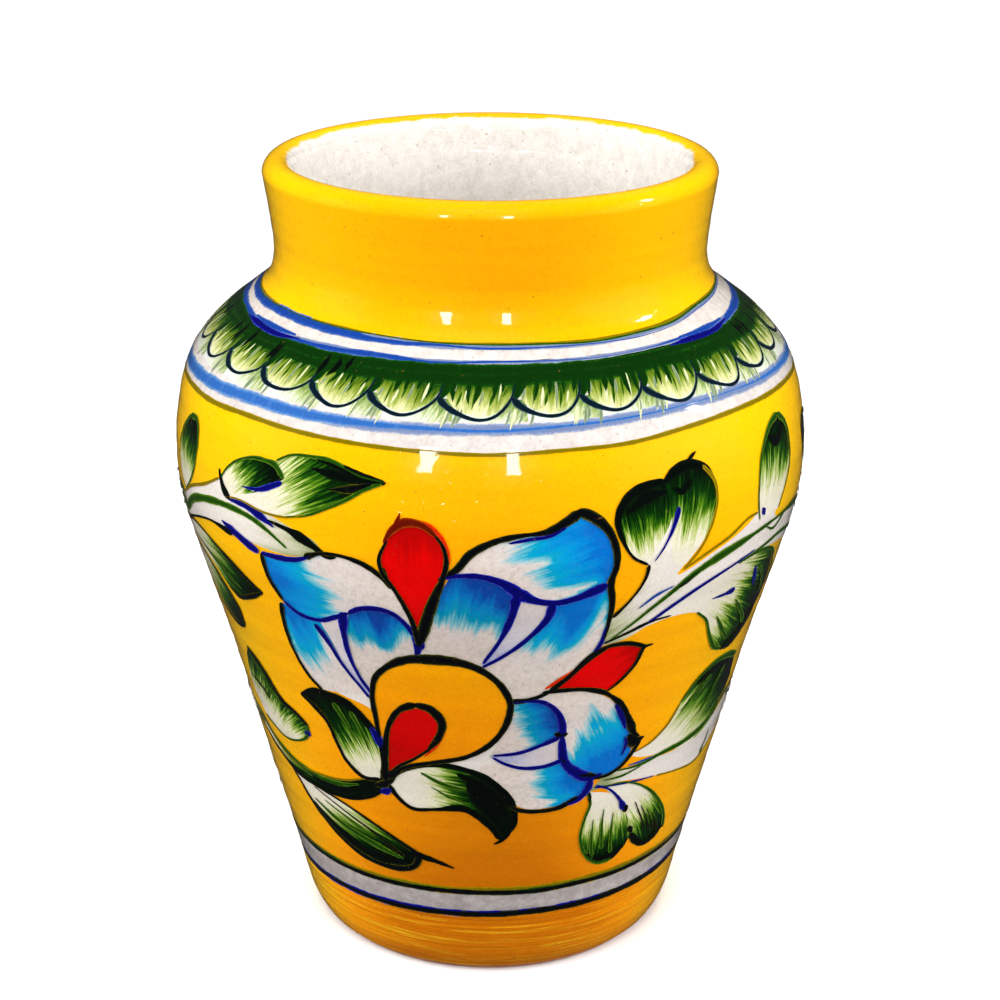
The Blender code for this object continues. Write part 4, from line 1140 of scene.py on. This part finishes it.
def side_sprig(h):
    """Between the two flowers the stems run on, with a leaf or two on each."""
    up = [(78.4, 88.7), (85, 88.4), (93, 90.6), (101, 92.6), (109, 92)]
    low = [(109, 87), (101, 86.4), (93, 84.4), (86, 82.4), (78.4, 82)]
    h.fill("stem", [up, [(109, 92), (109, 87)], low, [(78.4, 82), (78.4, 88.7)]], (90, 86), (104, 88))
    h.line("green", up, 0.8, 0.6, 0.6, 0.8)
    h.line("green", [(78.4, 86), (86, 85.6), (94, 87.6), (102, 90), (110, 89.4)], 1.0, 1.4, 1.2, 1.0)
    h.line("black", low[::-1], 0.7, 0.6, 0.8, 0.6)
    left = [(86, 88.6), (81, 93), (77, 98), (75.6, 102.6), (78, 105)]
    right = [(78, 105), (82, 104), (86, 99), (87.6, 93.6), (86, 88.6)]
    h.fill("leaf", [left, right], (85, 90), (78.6, 104), bias=0.06)
    h.line("black", left, 0.4, 0.6, 1.0, 1.4)
    h.line("green", right, 1.4, 0.7, 0.5, 0.4)
    top = [(88, 83.6), (92, 80), (94, 74), (93, 67.6), (90.6, 64)]
    back = [(90.6, 64), (87, 66.4), (84.6, 72), (85, 78), (88, 83.6)]
    h.fill("leaf", [top, back], (88, 81), (90, 65.6), bias=0.02)
    h.line("green", top, 0.4, 0.6, 0.9, 1.3)
    h.line("black", back, 1.3, 1.0, 0.5, 0.4)
    up = [(69, 50.6), (76, 49.4), (86, 50.4), (97, 50), (106, 49), (114.5, 46.6)]
    low = [(114.5, 43.6), (106, 44.6), (96, 45.6), (86, 45.8), (77, 44.4), (69, 43)]
    h.fill("stem", [up, [(114.5, 46.6), (114.5, 43.6)], low, [(69, 43), (69, 50.6)]], (80, 47), (110, 47))
    h.line("green", up, 1.0, 0.8, 0.6, 0.7)
    h.line("green", [(70, 46), (80, 47.6), (92, 48.2), (104, 47), (114, 45)], 0.6, 1.2, 1.4, 0.8)
    h.line("olive", low[::-1], 0.5, 0.5, 0.5)
    top = [(80, 45.2), (88, 42), (95, 36.4), (100, 30), (101, 26)]
    back = [(101, 26), (95, 26.4), (88, 30), (82.6, 36.6), (80, 45.2)]
    h.fill("leaf", [top, back], (82.6, 43), (97, 27.6), bias=-0.02)
    h.line("black", top, 0.4, 0.6, 0.8, 1.4)
    h.line("green", back, 1.2, 0.8, 0.5, 0.4)
    top = [(92, 50.2), (90, 56), (91.4, 62), (96, 66), (100.4, 67)]
    back = [(100.4, 67), (101.4, 61), (99, 54.6), (92, 50.2)]
    h.fill("leaf", [top, back], (93.6, 52.4), (99.4, 65.8), bias=0.04)
    h.line("green", top, 0.4, 0.6, 1.2, 1.4)
    h.line("black", back, 1.2, 0.7, 0.4)


for turn in (0.0, 180.0):
    hand = Hand(turn)
    upper_left(hand)
    lower_left(hand)
    right_side(hand)
    flower(hand)
    side_sprig(hand)

# ---------------------------------------------------------------- rings and lappets


def ring(kind, edge, above, widths, lift, sway=0.12):
    """A painted line right round the vase, above an edge or a height by so many mm."""
    points = []
    for k in range(30):
        a = -180.0 + k * 12.0
        z = around(edge, a) if isinstance(edge, tuple) else edge
        points.append((a, z + above + dice.uniform(-sway, sway)))
    points.append((180.0, points[0][1]))
    stroke(PAINTS[kind], points, widths if isinstance(widths, tuple) else (widths,) * 2, lift=lift, rough=0.07,
           closed=True)


# Widths run from the back, round by the viewer's left, the front and the right.
ring("olive", NECK_EDGE, 0.1, (0.8, 0.6, 0.7, 0.5, 0.8, 0.7, 0.8, 0.9), 0.060)
ring("sky", NECK_EDGE, -0.3, (1.2, 1.4, 1.6, 1.5, 1.1, 0.7, 0.8, 1.0, 1.2), 0.062)
ring("royal", NECK_EDGE, -0.4, (1.2, 1.5, 1.8, 2.0, 0.7, 0.12, 0.3, 0.9, 1.2), 0.064)
ring("green", NECK_EDGE, 0.0, (0.4, 0.3, 0.3, 0.3, 0.5, 0.5, 0.6, 0.4), 0.068)
ring("sky", 124.3, 0.0, 0.8, 0.056)
ring("royal", 124.2, 0.0, (0.9, 1.7, 0.8, 2.2, 0.8, 1.3, 0.5, 0.12, 1.0, 2.3, 0.8, 1.6, 0.9), 0.063, sway=0.25)
ring("sky", RING_EDGE, 0.0, (2.2, 2.3, 2.2, 2.2, 2.0, 1.9, 2.1, 2.2), 0.060)
ring("azure", RING_EDGE, 0.0, (2.0, 1.6, 2.5, 2.3, 0.8, 0.3, 1.7, 1.4, 2.0), 0.066)
ring("olive", BAND_EDGE, -0.1, (0.9, 0.8, 1.0, 0.7, 0.9, 1.0, 0.9), 0.060)
ring("olive", STRIPE_EDGE, 0.5, (2.1, 1.7, 2.2, 1.8), 0.058)
ring("green", STRIPE_EDGE, 0.3, (1.4, 1.6, 1.3, 1.6, 1.4, 1.5), 0.062)
ring("black", STRIPE_EDGE, 0.15, (1.5, 1.1, 1.4, 1.2, 1.5), 0.066)
ring("navy", FOOT_EDGE, 0.1, (1.6, 1.4, 1.7, 1.5, 1.6, 1.4), 0.060)
ring("black", FOOT_EDGE, 0.0, (1.6, 1.3, 1.7, 1.4), 0.064)

# The pale green brush band under the lappets.
LAPPETS = 27
for k in range(LAPPETS):
    mid = -180.0 + (k + 0.5) * 360.0 / LAPPETS
    half = 180.0 / LAPPETS
    sink = -0.5 * (1 - math.cos(math.radians(mid))) if abs(mid) < 90 else -0.3
    base = 116.7 + sink * 0.8
    fill(PAINTS["hatch"], [[(mid - half, base), (mid, base - 0.3), (mid + half, base)],
                      [(mid + half, base), (mid + half, 119.6)],
                      [(mid + half, 119.6), (mid, 119.8), (mid - half, 119.6)],
                      [(mid - half, 119.6), (mid - half, base)]],
         (mid - 1.5, base - 0.6), (mid + 1.5, 120.5), fan=8.0, lift=0.035, bias=0.12)

# The lappets: green scallops hung from a dark ring, each under a tapering dark arc.
# Where each lappet round the front hangs lowest, in degrees from the front.
STOPS = (-83.0, -69.7, -56.2, -41.8, -29.1, -15.9, -1.6, 11.6, 24.0, 37.6, 51.4, 64.0, 76.6, 89.6)
arcs = list(STOPS)
rest = 360.0 - (STOPS[-1] - STOPS[0])
for k in range(1, 14):
    arcs.append(STOPS[-1] + rest * k / 14.0 + dice.uniform(-0.7, 0.7))
for k, low_at in enumerate(arcs):
    ahead = (arcs[k + 1] if k + 1 < len(arcs) else arcs[0] + 360.0) - low_at
    behind = low_at - (arcs[k - 1] if k else arcs[-1] - 360.0)
    left = low_at - behind * 0.52
    right = low_at + ahead * 0.50
    drop = 117.5 + dice.uniform(-0.4, 0.5)
    runs = [[(left, 124.2), (left + 0.3, 121.2), (left + 2.0, 118.8), (low_at - 0.6, drop)],
            [(low_at - 0.6, drop), (low_at + 2.4, drop + 0.7), (right - 0.8, 120.6), (right, 124.2)],
            [(right, 124.2), (low_at, 124.5), (left, 124.2)]]
    fill(PAINTS["lappet"], runs, (low_at - 1.2, drop - 0.4), (low_at + 0.8, 124.0), fan=1.6,
         lift=0.052 + 0.002 * (k % 2),
         bias=dice.uniform(-0.02, 0.06))
    # Dark wash runs down from the ring, most where two lappets meet.
    for s in range(5):
        a = left + 0.8 + (right - left - 1.6) * (s + dice.uniform(0.2, 0.8)) / 5.0
        tip = dice.uniform(119.8, 121.8) - (0.9 if -20 < low_at < 55 else 0.0)
        stroke(PAINTS["pine"], [(a + 0.5, 123.2), (a + dice.uniform(-0.2, 0.4), (122.6 + tip) / 2),
                                (a + dice.uniform(-0.9, 0.1), tip)],
               (dice.uniform(1.8, 3.2), dice.uniform(0.6, 1.4), 0.25), lift=0.075 + 0.001 * s)
    for s in range(8):
        a = left + 1.4 + (right - left - 2.4) * (s + dice.uniform(0.1, 0.9)) / 8.0
        top = dice.uniform(120.4, 122.2)
        tip = dice.uniform(117.9, 119.4) + abs(a - low_at) * 0.12
        stroke(PAINTS["green" if s % 2 else "chalk" if s % 4 else "hatchline"],
               [(a + 0.4, top), (a, (top + tip) / 2), (a - 0.5, tip)],
               (0.35, dice.uniform(0.3, 0.7), 0.12), lift=0.070 + 0.0006 * s)
    stroke(PAINTS["pine"], [(left + 0.9, 122.8), (left + 0.5, 121.0), (left - 0.2, 119.4)], (3.2, 2.0, 0.7),
           lift=0.081)
    for s in range(0 if -20 < low_at < 55 else 2):
        a = left + dice.uniform(0.0, right - left)
        stroke(PAINTS["soot"], [(a, dice.uniform(123.2, 123.9)), (a + dice.uniform(-0.8, 0.8), 122.4),
                                (a - 0.6, dice.uniform(120.2, 121.6))],
               (0.3, dice.uniform(0.9, 2.1), 0.3), lift=0.086 + 0.001 * s)
    # The dark arc: heavy at its left, round the bottom, thin up the right.
    stroke(PAINTS["teal"], [(left - 0.6, 119.8), (left + 0.5, 118.9), (left + 2.4, 118.0),
                            (low_at - 0.6, drop - 0.25),
                       (low_at + 2.6, drop + 0.3), (right - 1.2, 119.6), (right - 0.1, 121.6)],
           (1.5, 1.1, 0.7, 0.6, 0.55, 0.5, 0.25), lift=0.088)
    # Dry brush streaks under the arcs, down to the blue ring.
    for s in range(5):
        a = left + dice.uniform(-2.8, 3.6)
        stroke(PAINTS["chalk" if s % 2 else "hatchline"], [(a + 0.5, 118.4), (a, 117.0),
                                                           (a - 0.6, dice.uniform(115.3, 116.4))],
               (0.3, dice.uniform(0.4, 0.8), 0.15), lift=0.071 + 0.0006 * s)
ring("pine", 123.2, 0.0, (2.4, 1.9, 2.6, 2.1, 2.5, 1.9, 2.5, 2.2, 2.4), 0.082, sway=0.25)
ring("pine", 122.2, 0.0, (1.6, 1.4, 1.8, 1.2, 1.4, 2.4, 3.0, 2.8, 3.0, 2.2, 1.4, 1.6, 1.6), 0.0805, sway=0.3)
# Where the blue ring was loaded heaviest it has run over the green.
for a in (-58.0, 55.0, 172.0):
    stroke(PAINTS["navy"], [(a - 13, 123.9), (a - 5, 123.9), (a + 4, 123.8), (a + 12, 124.2)], (0.3, 1.5, 1.2, 0.3),
           lift=0.091)
    stroke(PAINTS["royal"], [(a - 9, 124.5), (a, 124.4), (a + 10, 124.5)], (0.5, 1.3, 0.5), lift=0.0925)

for key, patch in PAINTS.items():
    look = brushed(*BRUSHES[key]) if key in BRUSHES else ink(*INKS[key])
    patch.build("painted_" + key, look)

# ---------------------------------------------------------------- stage, light, camera

WHITE_LEVEL = 1.1  # brightness of the surround, and of the floor far off

scene = bpy.context.scene
floor_mesh = bpy.data.meshes.new("floor")
floor_mesh.from_pydata([(-3, -3, 0), (3, -3, 0), (3, 3, 0), (-3, 3, 0)], [], [(0, 1, 2, 3)])
floor = bpy.data.objects.new("floor", floor_mesh)
scene.collection.objects.link(floor)
pale = Nodes("pale floor")
plaster = pale.noise(pale.place((0.02, 0.02, 0.02)), 1.0)
pale.link(pale.ramp(plaster, ((0.0, (250, 250, 250)), (1.0, (255, 255, 255)))), pale.shader.inputs["Base Color"])
pale.fix(pale.shader, {"Roughness": 0.9, "Specular IOR Level": 0.0})
# Away from the vase the floor turns as white as the surround, so that it has no edge.
far = pale.add("ShaderNodeVectorMath", operation="LENGTH")
pale.link(pale.place(), far.inputs[0])
glow = pale.add("ShaderNodeEmission")
pale.fix(glow, {"Strength": WHITE_LEVEL})
blend = pale.add("ShaderNodeMixShader")
for socket, value in zip(blend.inputs, (pale.span(far.outputs["Value"], 170.0, 420.0), pale.shader.outputs[0],
                                        glow.outputs[0])):
    pale.link(value, socket)
pale.link(blend.outputs[0], pale.tree.nodes["Material Output"].inputs["Surface"])
floor_mesh.materials.append(pale.owner)
floor.visible_glossy = False
floor.visible_diffuse = False

# The surround is white to look at, but dim in the glaze, so that its colours stay deep.
studio = Nodes("studio", bpy.data.worlds)
scene.world = studio.owner
surround = studio.tree.nodes["Background"]
ray = studio.add("ShaderNodeLightPath").outputs
seen = studio.span(ray["Is Camera Ray"], 0.0, 1.0, 0.28, WHITE_LEVEL)
shine = studio.span(ray["Is Glossy Ray"], 0.0, 1.0, 1.0, 0.10)
studio.fix(surround, {"Color": (1.0, 1.0, 1.0, 1.0)})
studio.link(studio.times(seen, shine), surround.inputs["Strength"])


def lamp(name, azimuth, elevation, away, size, watts, tall=None, mirrored=True):
    """A soft light seen from the vase at this angle from the front, degrees."""
    data = bpy.data.lights.new(name, "AREA")
    data.shape = "RECTANGLE"
    data.size = size
    data.size_y = tall or size
    data.energy = watts
    obj = bpy.data.objects.new(name, data)
    scene.collection.objects.link(obj)
    a, e = math.radians(azimuth), math.radians(elevation)
    aim = Vector((0, 0, 0.085))
    obj.location = aim + away * Vector((math.sin(a) * math.cos(e), -math.cos(a) * math.cos(e), math.sin(e)))
    obj.rotation_euler = (aim - obj.location).to_track_quat("-Z", "Y").to_euler()
    obj.visible_glossy = mirrored
    obj.visible_camera = False


lamp("key left", -22, 16, 1.6, 0.14, 3.6, 0.42)
lamp("key middle", 8, 16, 1.6, 0.14, 3.6, 0.42)
lamp("spark right", 88, 30, 1.3, 0.12, 1.6, 0.20)
lamp("low right", 54, 7, 1.2, 0.5, 3.3, mirrored=False)
lamp("over front", -8, 58, 1.4, 1.0, 18.0, mirrored=False)
lamp("side left", -82, 15, 1.3, 0.8, 17.0, 1.1, mirrored=False)
lamp("side right", 80, 15, 1.3, 0.8, 12.0, 1.1, mirrored=False)
lamp("over back", 176, 48, 1.4, 1.2, 14.0, mirrored=False)

camera_data = bpy.data.cameras.new("camera")
camera_data.lens = 80.35
camera_data.sensor_width = 36.0
camera_data.clip_start = 0.02
camera = bpy.data.objects.new("camera", camera_data)
scene.collection.objects.link(camera)
scene.camera = camera
eye = Vector((0.0, -0.400, 0.23337))
forward = Vector((0.0045, 0.93595, -0.3521)).normalized()
side = forward.cross(Vector((0, 0, 1))).normalized()
above = side.cross(forward)
tilt = 0.0032
axis_x = side * math.cos(tilt) + above * math.sin(tilt)
axis_y = above * math.cos(tilt) - side * math.sin(tilt)
turned = Matrix((axis_x, axis_y, -forward)).transposed().to_4x4()
camera.matrix_world = Matrix.Translation(eye) @ turned
scene.view_settings.view_transform = "Standard"
scene.view_settings.look = "None"
